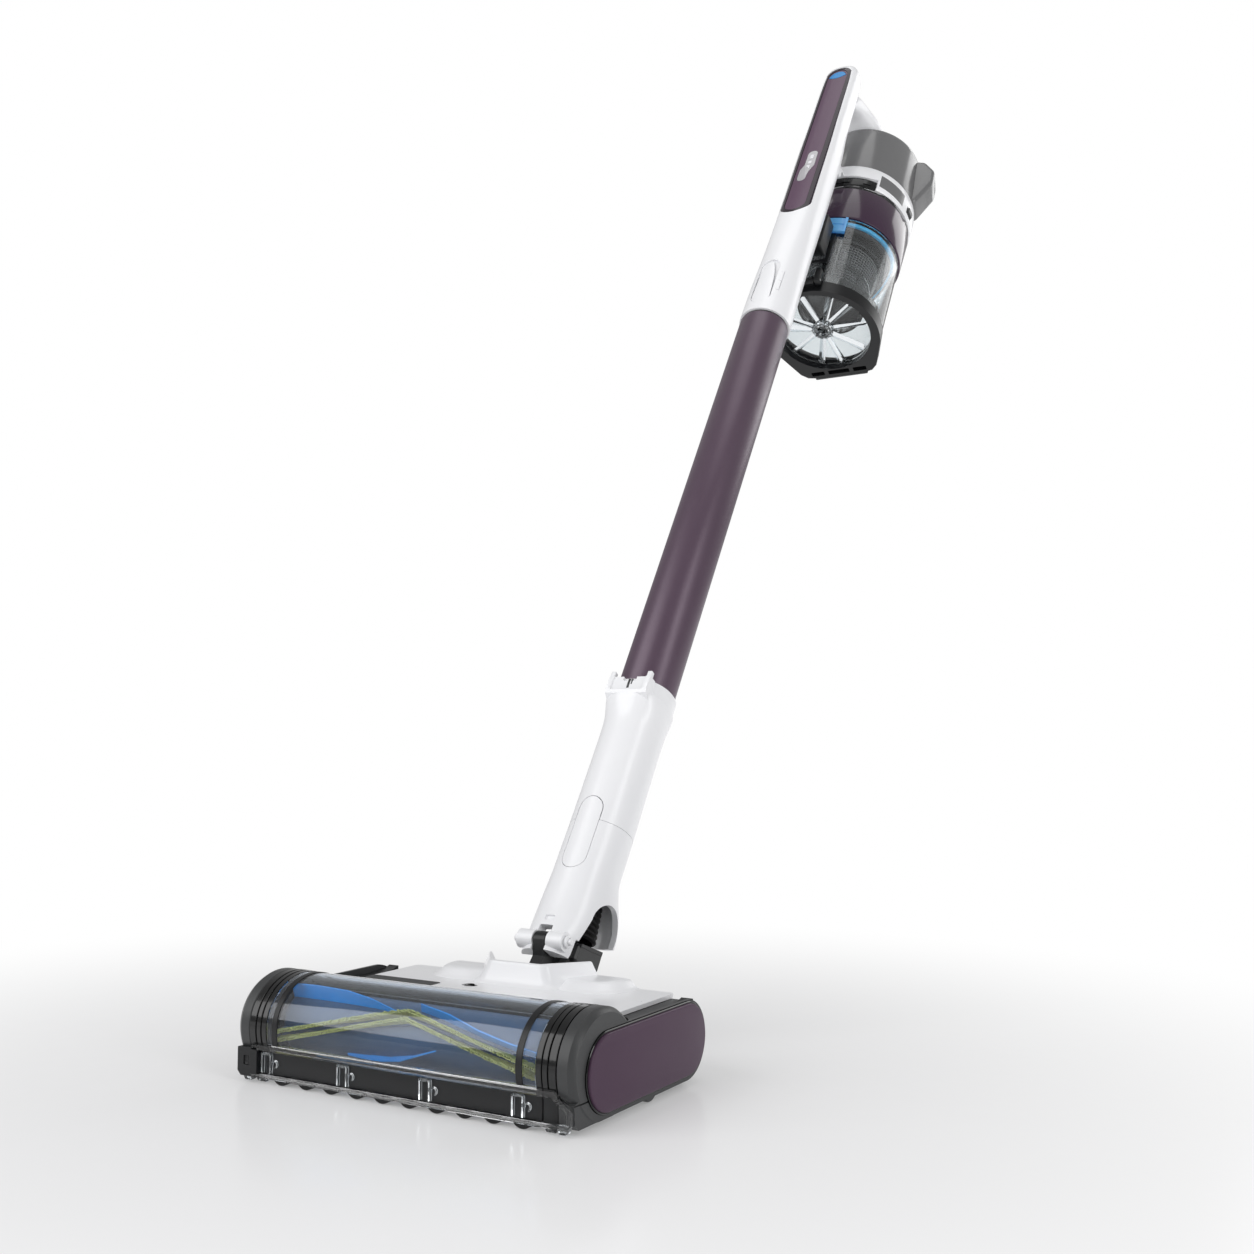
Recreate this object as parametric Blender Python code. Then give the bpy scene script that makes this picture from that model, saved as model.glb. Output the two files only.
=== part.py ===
# Cordless stick vacuum: hand vacuum, dust cup, wand, swivel neck and powered floor head.
# Metres, +Z up. +X is the head's right end, -Y is the way the head points.
# Two frames: head_frame stands on the floor at the head's front edge, and stick_frame lies on
# the wand's axis, +Z up the wand and +Y to its rear, leaning back by LEAN.
import bpy
import bmesh
from math import radians, cos, sin, pi, copysign
from mathutils import Vector, Matrix

LEAN = radians(32.8)                    # wand's lean back from upright
GAP = 0.0003                            # clearance between neighbouring pieces
STICK_ORIGIN = (0.0, 0.1883, 0.0637)    # a point of the wand's axis, in head_frame

# stick, in stick_frame: Y is rearward of the wand's axis, Z is the distance up the wand
PIN_Y = -0.0277                         # pitch pin, at Z = 0
TUBE_RADIUS = 0.0238
TUBE_LOW, TUBE_HIGH = 0.2270, 0.6550
NECK_TOP = 0.1000
SPINE_LOW, SPINE_HIGH = 0.6570, 1.0680
CUP_Y = 0.1080                          # axis of the dust cup and of the suction motor
CUP_RADIUS = 0.0600
CUP_LOW, CUP_HIGH = 0.7750, 0.8760
COLLAR_HIGH = 0.9240
RING_LOW, RING_HIGH = 0.9300, 0.9620
CAP_HIGH = 1.0350

# floor head, in head_frame: Y is rearward of its front edge
HEAD_HALF = 0.1330
BRUSH_Y, BRUSH_Z = 0.0370, 0.0350
DOME_RADIUS = 0.0350
BRUSH_HALF = 0.1080
ROLL_Z = 0.0360                         # fore-aft swivel axis of the head
DECK_Z = 0.0530                         # top of the white cover


def clear_scene():
    for old in list(bpy.data.objects):
        bpy.data.objects.remove(old, do_unlink=True)


def material(name, colour, roughness=0.45, metallic=0.0, alpha=1.0):
    mat = bpy.data.materials.get(name)
    if mat:
        return mat
    mat = bpy.data.materials.new(name)
    mat.use_nodes = True
    shader = mat.node_tree.nodes["Principled BSDF"]
    shader.inputs["Base Color"].default_value = (*colour, 1.0)
    shader.inputs["Roughness"].default_value = roughness
    shader.inputs["Metallic"].default_value = metallic
    shader.inputs["Alpha"].default_value = alpha
    mat.diffuse_color = (*colour, alpha)
    return mat


def empty(name, parent=None, location=(0, 0, 0)):
    pivot = bpy.data.objects.new(name, None)
    bpy.context.scene.collection.objects.link(pivot)
    pivot.parent = parent
    pivot.location = location
    return pivot


# ---- shapes: each returns a bmesh in the frame of the piece's parent ----

def slab(outline, low, high, axis="Z"):
    """Extrudes a closed outline; X takes (y, z), Y takes (x, z) and Z takes (x, y) points."""
    place = {"X": lambda p: (low, p[0], p[1]),
             "Y": lambda p: (p[0], low, p[1]),
             "Z": lambda p: (p[0], p[1], low)}[axis]
    step = {"X": (high - low, 0, 0), "Y": (0, high - low, 0), "Z": (0, 0, high - low)}[axis]
    shape = bmesh.new()
    face = shape.faces.new([shape.verts.new(place(p)) for p in outline])
    grown = bmesh.ops.extrude_face_region(shape, geom=[face])["geom"]
    ends = [v for v in grown if isinstance(v, bmesh.types.BMVert)]
    bmesh.ops.translate(shape, verts=ends, vec=step)
    bmesh.ops.recalc_face_normals(shape, faces=shape.faces)
    return shape


def block(low, high):
    corners = [(low[0], low[1]), (high[0], low[1]), (high[0], high[1]), (low[0], high[1])]
    return slab(corners, low[2], high[2])


def turned(profile, centre=(0, 0, 0), axis="Z", steps=24):
    """Turns a closed (radius, height) profile round an axis."""
    shape = bmesh.new()
    rim = [shape.verts.new((r, 0, h)) for r, h in profile]
    edges = [shape.edges.new((rim[i], rim[(i + 1) % len(rim)])) for i in range(len(rim))]
    bmesh.ops.spin(shape, geom=rim + edges, cent=(0, 0, 0), axis=(0, 0, 1), angle=2 * pi,
                   steps=steps, use_merge=True)
    bmesh.ops.remove_doubles(shape, verts=shape.verts, dist=1e-6)
    bmesh.ops.dissolve_degenerate(shape, edges=shape.edges, dist=1e-7)
    loose = [e for e in shape.edges if not e.link_faces]
    bmesh.ops.delete(shape, geom=loose, context="EDGES")
    turn = {"Z": Matrix(), "X": Matrix.Rotation(pi / 2, 4, "Y"),
            "Y": Matrix.Rotation(-pi / 2, 4, "X")}[axis]
    bmesh.ops.transform(shape, matrix=Matrix.Translation(centre) @ turn, verts=shape.verts)
    bmesh.ops.recalc_face_normals(shape, faces=shape.faces)
    return shape


def rod(radius, low, high, centre=(0, 0, 0), axis="Z", steps=16):
    return turned([(0, low), (radius, low), (radius, high), (0, high)], centre, axis, steps)


def tube(outer, inner, low, high, centre=(0, 0, 0), axis="Z", steps=24):
    return turned([(inner, low), (outer, low), (outer, high), (inner, high)], centre, axis, steps)


def loft(rings, closed=False):
    """Joins rings of equal point counts; the ends are capped unless the loft closes on itself."""
    shape = bmesh.new()
    loops = [[shape.verts.new(p) for p in ring] for ring in rings]
    count = len(rings[0])
    pairs = list(zip(loops, loops[1:])) + ([(loops[-1], loops[0])] if closed else [])
    for near, far in pairs:
        for i in range(count):
            j = (i + 1) % count
            shape.faces.new((near[i], near[j], far[j], far[i]))
    if not closed:
        shape.faces.new(loops[0][::-1])
        shape.faces.new(loops[-1])
    bmesh.ops.recalc_face_normals(shape, faces=shape.faces)
    return shape


def oval(half_x, front, rear, height, power=2.0, count=24):
    """Superellipse ring at one height, from front to rear along Y."""
    middle, half_y = (front + rear) / 2, (rear - front) / 2
    points = []
    for i in range(count):
        a = 2 * pi * i / count
        x = half_x * copysign(abs(cos(a)) ** (2 / power), cos(a))
        y = middle + half_y * copysign(abs(sin(a)) ** (2 / power), sin(a))
        points.append((x, y, height))
    return points


def arc(centre, radius, start, end, steps):
    """Points of an arc, angles in degrees, counter-clockwise from the first axis."""
    return [(centre[0] + radius * cos(radians(start + (end - start) * i / steps)),
             centre[1] + radius * sin(radians(start + (end - start) * i / steps)))
            for i in range(steps + 1)]


def stadium(half_width, low, high, steps=8):
    """Outline with round ends, half_width to each side and from low to high."""
    return (arc((0, high - half_width), half_width, 0, 180, steps)
            + arc((0, low + half_width), half_width, 180, 360, steps))


# ---- objects ----

def finish(name, shape, mat, parent, pivot=(0, 0, 0), bevel=0.0):
    """Makes the object of a shape, with its origin at pivot in its parent's frame."""
    bmesh.ops.translate(shape, verts=shape.verts, vec=-Vector(pivot))
    mesh = bpy.data.meshes.new(name)
    shape.to_mesh(mesh)
    shape.free()
    mesh.materials.append(mat)
    mesh.shade_smooth()
    mesh.set_sharp_from_angle(angle=radians(35))
    piece = bpy.data.objects.new(name, mesh)
    bpy.context.scene.collection.objects.link(piece)
    piece.parent = parent
    piece.location = pivot
    if bevel:
        edge = piece.modifiers.new("edge", "BEVEL")
        edge.width = bevel
        edge.segments = 1
        edge.limit_method = "ANGLE"
        edge.angle_limit = radians(50)
    return piece


def boolean(piece, shape, operation):
    """Cuts, joins or intersects a piece with a shape given in the piece's parent's frame."""
    mesh = bpy.data.meshes.new(piece.name + "_tool")
    shape.to_mesh(mesh)
    shape.free()
    tool = bpy.data.objects.new(piece.name + "_tool", mesh)
    bpy.context.scene.collection.objects.link(tool)
    tool.parent = piece.parent
    tool.hide_render = True
    tool.display_type = "WIRE"
    step = piece.modifiers.new(operation.lower(), "BOOLEAN")
    step.operation = operation
    step.solver = "EXACT"
    step.object = tool


def cut(piece, *shapes):
    for shape in shapes:
        boolean(piece, shape, "DIFFERENCE")


def join(piece, *shapes):
    for shape in shapes:
        boolean(piece, shape, "UNION")


WHITE = material("gloss_white", (0.80, 0.80, 0.82), 0.28)
PLUM = material("plum", (0.105, 0.072, 0.105), 0.32)
PLUM_PANEL = material("plum_panel", (0.140, 0.090, 0.135), 0.30)
BLACK = material("black", (0.012, 0.012, 0.014), 0.45)
DARK = material("dark_grey", (0.055, 0.056, 0.058), 0.40)
GREY = material("grey", (0.150, 0.150, 0.152), 0.35)
CLEAR = material("clear", (0.75, 0.78, 0.80), 0.05, 0.0, 0.25)
SMOKE = material("smoke", (0.20, 0.22, 0.25), 0.05, 0.0, 0.35)
BLUE = material("blue", (0.02, 0.26, 0.55), 0.30)
BLUE_CLEAR = material("blue_clear", (0.12, 0.45, 0.75), 0.15, 0.0, 0.6)
STEEL = material("steel", (0.55, 0.55, 0.56), 0.30, 1.0)
RUBBER = material("rubber", (0.020, 0.020, 0.020), 0.85)
FOAM = material("foam", (0.10, 0.13, 0.17), 0.95)
SLATE = material("slate_blue", (0.035, 0.060, 0.085), 0.50)
COPPER = material("motor_can", (0.30, 0.30, 0.31), 0.35, 1.0)


# ---- hand vacuum ----

def spine_sections(grow=0.0):
    """Outer form of the spine: round at the wand, slimmer at the grip, domed at the top."""
    table = ((SPINE_LOW, 0.0250, -0.0250, 0.0250, 2.0),
             (0.7000, 0.0247, -0.0243, 0.0247, 2.0),
             (0.7600, 0.0232, -0.0210, 0.0240, 2.2),
             (0.8200, 0.0220, -0.0178, 0.0230, 2.4),
             (0.9200, 0.0210, -0.0170, 0.0215, 2.6),
             (0.9650, 0.0195, -0.0166, 0.0170, 2.7),
             (1.0350, 0.0192, -0.0160, 0.0145, 2.7),
             (1.0560, 0.0178, -0.0152, 0.0130, 2.6),
             (1.0640, 0.0150, -0.0128, 0.0105, 2.4),
             (SPINE_HIGH, 0.0095, -0.0080, 0.0060, 2.2))
    return [oval(x + grow, front - grow, rear + grow, z, power)
            for z, x, front, rear, power in table]


PANEL_HALF, PANEL_LOW, PANEL_HIGH = 0.0172, 0.8080, 1.0590
PANEL_BACK = -0.0132                    # rear face of the front panel
BUTTON_Z, BUTTON_FACE = 1.0430, -0.0164     # power button
RELEASE_HALF, RELEASE_LOW, RELEASE_HIGH, RELEASE_FACE = 0.0100, 0.6670, 0.7290, -0.0246
LENS_LOW, LENS_HIGH = 0.8600, 0.9100
SOCKET_RADIUS, SOCKET_HIGH = 0.0195, 0.7150
BAY_HALF, BAY_FRONT, BAY_REAR, BAY_LOW = 0.0135, -0.0045, 0.0095, 0.9400


def build_spine(frame):
    spine = finish("spine_shell", loft(spine_sections()), WHITE, frame)
    cut(spine,
        rod(SOCKET_RADIUS, SPINE_LOW - 0.01, SOCKET_HIGH, steps=24),
        slab(stadium(PANEL_HALF + GAP, PANEL_LOW - GAP, PANEL_HIGH + GAP), -0.0400, PANEL_BACK + GAP,
             "Y"),
        slab(stadium(RELEASE_HALF + GAP, RELEASE_LOW - GAP, RELEASE_HIGH + GAP), -0.0400, -0.0205, "Y"),
        block((-BAY_HALF, BAY_FRONT, BAY_LOW), (BAY_HALF, BAY_REAR, 1.10)),
        block((-0.0060, 0.0040, 1.0530), (0.0060, 0.0300, 1.1000)),
        block((-0.0100, 0.0, 0.8100), (0.0100, 0.0400, 0.8500)),
        slab(button_outline(GAP), PANEL_BACK - 0.0010, PANEL_BACK + 0.0040, "Y"),
        rod(0.0130, 0.7000, 0.8300, steps=24))
    panel = finish("front_panel", loft(spine_sections(-0.0002)), PLUM_PANEL, frame)
    boolean(panel, slab(stadium(PANEL_HALF, PANEL_LOW, PANEL_HIGH), -0.0400, PANEL_BACK, "Y"),
            "INTERSECT")
    cut(panel,
        slab(button_outline(GAP), -0.0400, 0.0, "Y"),
        slab(lens_outline(GAP), -0.0400, -0.0148, "Y"))
    finish("display_lens", slab(lens_outline(0.0), -0.0172, -0.0151, "Y"), GREY, frame, bevel=0.0003)
    finish("power_button", slab(button_outline(0.0), BUTTON_FACE, PANEL_BACK + 0.0012, "Y"), BLUE,
           frame, (0, BUTTON_FACE, BUTTON_Z), bevel=0.0004)
    finish("wand_release_button",
           slab(stadium(RELEASE_HALF, RELEASE_LOW, RELEASE_HIGH), RELEASE_FACE, RELEASE_FACE + 0.0020, "Y"),
           WHITE, frame, (0, RELEASE_FACE, (RELEASE_LOW + RELEASE_HIGH) / 2), bevel=0.0004)


def button_outline(grow):
    return [(x, BUTTON_Z + z) for x, z in
            [((0.0098 + grow) * cos(2 * pi * i / 20), (0.0068 + grow) * sin(2 * pi * i / 20))
             for i in range(20)]]


def lens_outline(grow):
    """Two round lobes joined by a slanted bar."""
    lobe = 0.0060 + grow
    top, low = LENS_HIGH - 0.0060, LENS_LOW + 0.0060
    return (arc((0.0020, top), lobe, -10, 170, 8)
            + arc((-0.0020, low), lobe, 170, 350, 8))


def build_battery(frame):
    cell_top = 1.0520
    pack = finish("battery_pack", loft(spine_sections(-0.0002)), WHITE, frame, (0, 0.0025, cell_top))
    boolean(pack, block((-BAY_HALF + GAP, BAY_FRONT + GAP, BAY_LOW + 0.0010),
                        (BAY_HALF - GAP, BAY_REAR - GAP, 1.10)), "INTERSECT")
    cut(pack, block((-0.0060, BAY_REAR - 0.0045, cell_top + 0.0010),
                    (0.0060, 0.0300, cell_top + 0.0075)))
    finish("battery_latch", block((-0.0057, BAY_REAR - 0.0027, cell_top + 0.0013),
                                  (0.0057, BAY_REAR + 0.0042, cell_top + 0.0072)), DARK, frame,
           (0, BAY_REAR, cell_top + 0.004), bevel=0.0004)


def build_motor_unit(frame):
    centre = (0, CUP_Y, 0)
    housing = finish("motor_housing", turned([(0.0200, 0.9460), (0.0575, 0.9460), (0.0575, RING_LOW),
                                              (0.0635, RING_LOW), (0.0635, RING_HIGH),
                                              (0.0575, RING_HIGH), (0.0575, 0.9500),
                                              (0.0200, 0.9500)], centre, steps=30), WHITE, frame)
    join(housing,
         block((-0.0160, 0.0222, 0.8850), (0.0160, 0.0420, 0.9480)),
         block((-0.0150, 0.0380, RING_LOW + 0.0020), (0.0150, 0.0490, 0.9472)))
    cut(housing, block((0.0590, CUP_Y - 0.0063, 0.9363), (0.0700, CUP_Y + 0.0063, 0.9457)))
    finish("cup_release_button", block((0.0612, CUP_Y - 0.0060, 0.9366),
                                       (0.0660, CUP_Y + 0.0060, 0.9454)), GREY, frame,
           (0.0660, CUP_Y, 0.9410), bevel=0.0006)
    wall = 0.0025
    cap = finish("motor_cap", turned([(0.0622, RING_HIGH + GAP), (0.0622, 0.9700), (0.0560, 1.0280),
                                      (0.0520, CAP_HIGH), (0, CAP_HIGH), (0, CAP_HIGH - wall),
                                      (0.0505, CAP_HIGH - wall), (0.0535, 1.0265),
                                      (0.0597, 0.9700), (0.0597, RING_HIGH + GAP)], centre, steps=30),
                 GREY, frame)
    for side in (-1, 1):
        bump = [(side * 0.0540, 0.9640), (side * 0.0690, 0.9640), (side * 0.0700, 0.9950),
                (side * 0.0610, 1.0240), (side * 0.0540, 1.0240)]
        shape = slab(bump, CUP_Y - 0.0150, CUP_Y + 0.0150, "Y")
        join(cap, shape)
    cut(cap, turned([(0, 0.95), (0.0597, 0.95), (0.0597, 0.9700), (0.0535, 1.0265),
                     (0.0505, CAP_HIGH - wall), (0, CAP_HIGH - wall)], centre, steps=30))
    finish("suction_motor", turned([(0, 0.9730), (0.0300, 0.9730), (0.0300, 1.0120), (0.0180, 1.0150),
                                    (0.0180, 1.0220), (0, 1.0220)], centre), COPPER, frame)
    finish("exhaust_filter", tube(0.0520, 0.0350, 0.9510, 0.9850, centre), FOAM, frame)
    blades = [(0.0180 + 0.0080 * (i % 2), 2 * pi * i / 24) for i in range(24)]
    star = [(r * cos(a), CUP_Y + r * sin(a)) for r, a in blades]
    finish("suction_fan", slab(star, 0.9560, 0.9700), STEEL, frame, (0, CUP_Y, 0.9630))
    strut_rings = [oval_y(0.0150, 1.0180, 1.0480, 0.0180), oval_y(0.0200, 1.0260, 1.0560, 0.0380),
                   oval_y(0.0225, CAP_HIGH + GAP, 1.0580, 0.0475),
                   oval_y(0.0260, CAP_HIGH + GAP, 1.0600, 0.0620),
                   oval_y(0.0290, CAP_HIGH + GAP, 1.0580, 0.0900),
                   oval_y(0.0240, CAP_HIGH + GAP, 1.0500, 0.1180),
                   oval_y(0.0140, CAP_HIGH + GAP, 1.0420, 0.1320)]
    strut = finish("handle_strut", loft(strut_rings), WHITE, frame)
    cut(strut, loft(spine_sections(GAP)))


def oval_y(half_x, low, high, y, count=16):
    """Rounded section square to Y."""
    return [(x, y, z) for x, z, _ in oval(half_x, low, high, 0, 3.0, count)]


# ---- dust cup ----

def build_dust_cup(frame):
    centre = (0, CUP_Y, 0)
    inner = CUP_RADIUS - 0.0022
    cup = finish("cup_shell", tube(CUP_RADIUS, inner, CUP_LOW, CUP_HIGH, centre, steps=30), CLEAR,
                 frame)
    join(cup, block((-0.0160, INLET_FRONT, 0.8060), (0.0160, 0.0540, 0.8540)))
    for side in (-1, 1):
        near, far = sorted((side * 0.0125, side * 0.0190))
        join(cup, block((near, DOOR_HINGE_Y - 0.0040, DOOR_HINGE_Z - 0.0035),
                        (far, DOOR_HINGE_Y + 0.0035, CUP_LOW + 0.0080)),
             block((near, DOOR_HINGE_Y + 0.0030, CUP_LOW + 0.0005), (far, 0.0560, CUP_LOW + 0.0080)))
    cut(cup, block((-0.0125, 0.0200, 0.8100), (0.0125, 0.0700, 0.8500)),
        rod(0.0018, -0.03, 0.03, (0, DOOR_HINGE_Y, DOOR_HINGE_Z), "X", 16),
        rod(inner, CUP_LOW - 0.01, CUP_HIGH + 0.01, centre, steps=30))
    finish("cup_collar", turned([(0.0585, CUP_HIGH + GAP), (0.0622, CUP_HIGH + GAP),
                                 (0.0628, COLLAR_HIGH), (0.0585, COLLAR_HIGH)], centre, steps=30),
           PLUM, frame)
    finish("filter_frame", turned([(0.0500, 0.9090), (0.0580, 0.9090), (0.0580, COLLAR_HIGH + GAP),
                                   (0.0600, COLLAR_HIGH + GAP), (0.0600, 0.9290), (0.0480, 0.9290),
                                   (0.0480, 0.9250), (0.0500, 0.9250)], centre, steps=30),
           BLACK, frame)
    finish("pre_motor_filter", rod(0.0495, 0.9095, 0.9245, centre, steps=24), FOAM, frame)
    finish("cyclone_core", turned([(0.0150, 0.8060), (0.0200, 0.8060), (0.0300, 0.8700),
                                          (0.0300, 0.8980), (0.0575, 0.8980), (0.0575, 0.9020),
                                          (0.0200, 0.9020), (0.0200, 0.8980), (0.0280, 0.8960),
                                          (0.0280, 0.8710)], centre, steps=24), DARK, frame)
    finish("shroud", turned([(0.0220, 0.8000), (0.0340, 0.8000), (0.0440, 0.8620), (0.0440, 0.8940),
                             (0.0425, 0.8940), (0.0425, 0.8625), (0.0325, 0.8018),
                             (0.0220, 0.8018)], centre, steps=30), STEEL, frame)
    ejector = finish("dirt_ejector", tube(0.0570, 0.0450, 0.8700, 0.8745, centre, steps=30),
                     BLUE_CLEAR, frame)
    join(ejector, block((0.0100, CUP_Y - 0.0540, 0.8420), (0.0300, CUP_Y - 0.0480, 0.8720)))
    cut(ejector, tube(0.0800, 0.0570, 0.83, 0.90, centre, steps=30))


INLET_FRONT = 0.0252                    # clear of the spine all the way down the cup's slide
DOOR_LOW, DOOR_HIGH = 0.7600, CUP_LOW - GAP
DOOR_HINGE_Y, DOOR_HINGE_Z = CUP_Y - 0.0655, 0.7690


def door_outline(radius, rear, half_rear):
    """Round in front and at the sides, with a straight rear edge and two rear corners."""
    points = arc((0, CUP_Y), radius, 160, 380, 22)
    return points + [(half_rear + 0.012, CUP_Y + rear - 0.012), (half_rear, CUP_Y + rear),
                     (-half_rear, CUP_Y + rear), (-half_rear - 0.012, CUP_Y + rear - 0.012)]


def build_cup_door(frame):
    pivot = (0, DOOR_HINGE_Y, DOOR_HINGE_Z)
    door = finish("door_frame", slab(door_outline(0.0612, 0.0590, 0.0330), DOOR_LOW, DOOR_HIGH), BLACK,
                  frame, pivot, bevel=0.0010)
    cut(door, rod(0.0520, 0.70, 0.80, (0, CUP_Y, 0), steps=24),
        block((-0.0200, CUP_Y - 0.0720, 0.75), (0.0200, CUP_Y - 0.0605, 0.80)))
    window = finish("door_window", turned([(0, DOOR_LOW + 0.0060), (0.0516, DOOR_LOW + 0.0060),
                                           (0.0516, DOOR_LOW + 0.0090), (0.0150, DOOR_LOW + 0.0090),
                                           (0.0100, DOOR_LOW + 0.0250), (0, DOOR_LOW + 0.0250)],
                                          (0, CUP_Y, 0), steps=24), CLEAR, frame, pivot)
    for i in range(6):
        rib = block((-0.0006, 0.0, DOOR_LOW + 0.0070), (0.0006, 0.0490, DOOR_LOW + 0.0140))
        bmesh.ops.rotate(rib, verts=rib.verts, matrix=Matrix.Rotation(2 * pi * i / 6, 3, "Z"))
        bmesh.ops.translate(rib, verts=rib.verts, vec=(0, CUP_Y, 0))
        join(window, rib)
    finish("door_hinge_pin", rod(0.0015, -0.0190, 0.0190, (0, DOOR_HINGE_Y, DOOR_HINGE_Z), "X", 12),
           STEEL, frame, pivot)
    join(door, block((-0.0118, 0.0440, 0.7665), (0.0118, 0.0520, 0.7715)),
         tube(0.0035, 0.0015 + GAP, -0.0118, 0.0118, (0, DOOR_HINGE_Y, DOOR_HINGE_Z), "X", 16))
    cut(door, rod(0.0015 + GAP, -0.03, 0.03, (0, DOOR_HINGE_Y, DOOR_HINGE_Z), "X", 16))
    finish("door_latch", block((-0.0300, CUP_Y + 0.0604, DOOR_LOW + 0.0010),
                               (0.0300, CUP_Y + 0.0630, DOOR_HIGH + 0.0060)), DARK, frame,
           (0, CUP_Y + 0.0607, DOOR_LOW + 0.004), bevel=0.0006)


# ---- wand ----

def build_wand(frame):
    finish("wand_tube", tube(TUBE_RADIUS, 0.0218, TUBE_LOW - 0.0170, TUBE_HIGH, steps=24), PLUM, frame)
    finish("wand_plug", turned([(0.0165, 0.6250), (0.0215, 0.6250), (0.0215, TUBE_HIGH + GAP),
                                (0.0232, TUBE_HIGH + GAP), (0.0232, SPINE_LOW - GAP),
                                (0.0191, SPINE_LOW - GAP), (0.0191, 0.7050), (0.0165, 0.7050)],
                               steps=24), BLACK, frame)
    collar = finish("wand_collar", turned([(0.0200, NECK_TOP + GAP), (0.0252, NECK_TOP + GAP),
                                           (0.0249, 0.1500), (0.0254, 0.2262), (0.0241, 0.2262),
                                           (0.0241, 0.2097), (0.0200, 0.2097)], steps=24),
                    WHITE, frame)
    lip = [(-0.0235, 0.1940), (-0.0255, 0.1940), (-0.0292, 0.2085), (-0.0292, 0.2125),
           (-0.0262, 0.2135), (-0.0262, 0.2260), (-0.0244, 0.2260), (-0.0244, 0.2100),
           (-0.0235, 0.2090)]
    join(collar, slab(lip, -0.0165, 0.0165, "X"))
    for side in (-1, 1):
        near, far = sorted((side * 0.0110, side * 0.0165))
        prong = [(-0.0262, 0.2150), (-0.0262, 0.2310), (-0.0244, 0.2310), (-0.0243, 0.2150)]
        join(collar, slab(prong, near, far, "X"))
    cut(collar, block((-0.0148, -0.0400, 0.0900), (0.0148, -0.0162, 0.1303)),
        rod(0.0241, 0.2097, 0.2400, steps=24))


# ---- nozzle neck ----

TONGUE_HIGH = 0.1300
NECK_BUTTON_HALF, NECK_BUTTON_LOW, NECK_BUTTON_HIGH = 0.0100, 0.0590, 0.1190


def neck_sections(inset=0.0):
    table = ((-0.0088, 0.0212, -0.0325, 0.0270, 2.6),
             (0.0060, 0.0228, -0.0305, 0.0290, 2.5),
             (0.0250, 0.0240, -0.0280, 0.0290, 2.3),
             (0.0450, 0.0242, -0.0265, 0.0262, 2.2),
             (0.0650, 0.0245, -0.0256, 0.0238, 2.1),
             (NECK_TOP, 0.0252, -0.0252, 0.0252, 2.0))
    return [oval(x - inset, front + inset, rear - inset, z, power) for z, x, front, rear, power in table]


def build_neck(frame):
    neck = finish("neck_shell", loft(neck_sections()), WHITE, frame)
    tongue = arc((0, 0), 0.0251, -125, -55, 6) + [(0.0144, -0.0166), (-0.0144, -0.0166)]
    join(neck, slab(tongue, 0.0900, TONGUE_HIGH))
    hollow = [oval(x - 0.0030, front + 0.0060, rear - 0.0030, z, 2.2)
              for z, x, front, rear in ((-0.0200, 0.0218, -0.0280, 0.0290),
                                        (0.0250, 0.0240, -0.0275, 0.0290),
                                        (0.0600, 0.0242, -0.0260, 0.0240))]
    arch = arc((-0.0060, 0.0220), 0.0180, 0, 180, 10)
    arch = [(y, z) for y, z in arch] + [(-0.0240, -0.0300), (0.0120, -0.0300)]
    cut(neck, loft(hollow),
        rod(0.0165, 0.0550, 0.1500, steps=24),
        rod(0.0200, 0.0800, 0.1500, steps=24),
        slab(arch, -0.0400, 0.0400, "X"),
        block((-0.0053, -0.0500, -0.0300), (0.0053, -0.0150, 0.0110)),
        slab([(-0.0192, -0.0400), (0.0600, -0.0400), (0.0600, 0.0000), (-0.0050, 0.0000),
              (-0.0050, 0.0060), (-0.0192, 0.0060)],
             -0.0450, 0.0450, "X"),
        slab(stadium(NECK_BUTTON_HALF + GAP, NECK_BUTTON_LOW - GAP, NECK_BUTTON_HIGH + GAP),
             -0.0400, -0.0206, "Y"),
        rod(0.0027, -0.0300, 0.0300, (0, PIN_Y, 0), "X", 20))
    finish("neck_release_button",
           slab(stadium(NECK_BUTTON_HALF, NECK_BUTTON_LOW, NECK_BUTTON_HIGH), -0.0262, -0.0226, "Y"),
           WHITE, frame, (0, -0.0262, (NECK_BUTTON_LOW + NECK_BUTTON_HIGH) / 2), bevel=0.0005)
    finish("neck_spigot", tube(0.0197, 0.0167, 0.0803, 0.1500, steps=24), BLACK, frame)


HOSE_LOW, HOSE_HIGH, HOSE_RADIUS = 0.0195, 0.0545, 0.0140
HOSE_FOLDS = 9
HOSE_SHIFT = 0.0075                     # how far the hose's lower end lies behind the wand's axis


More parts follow.
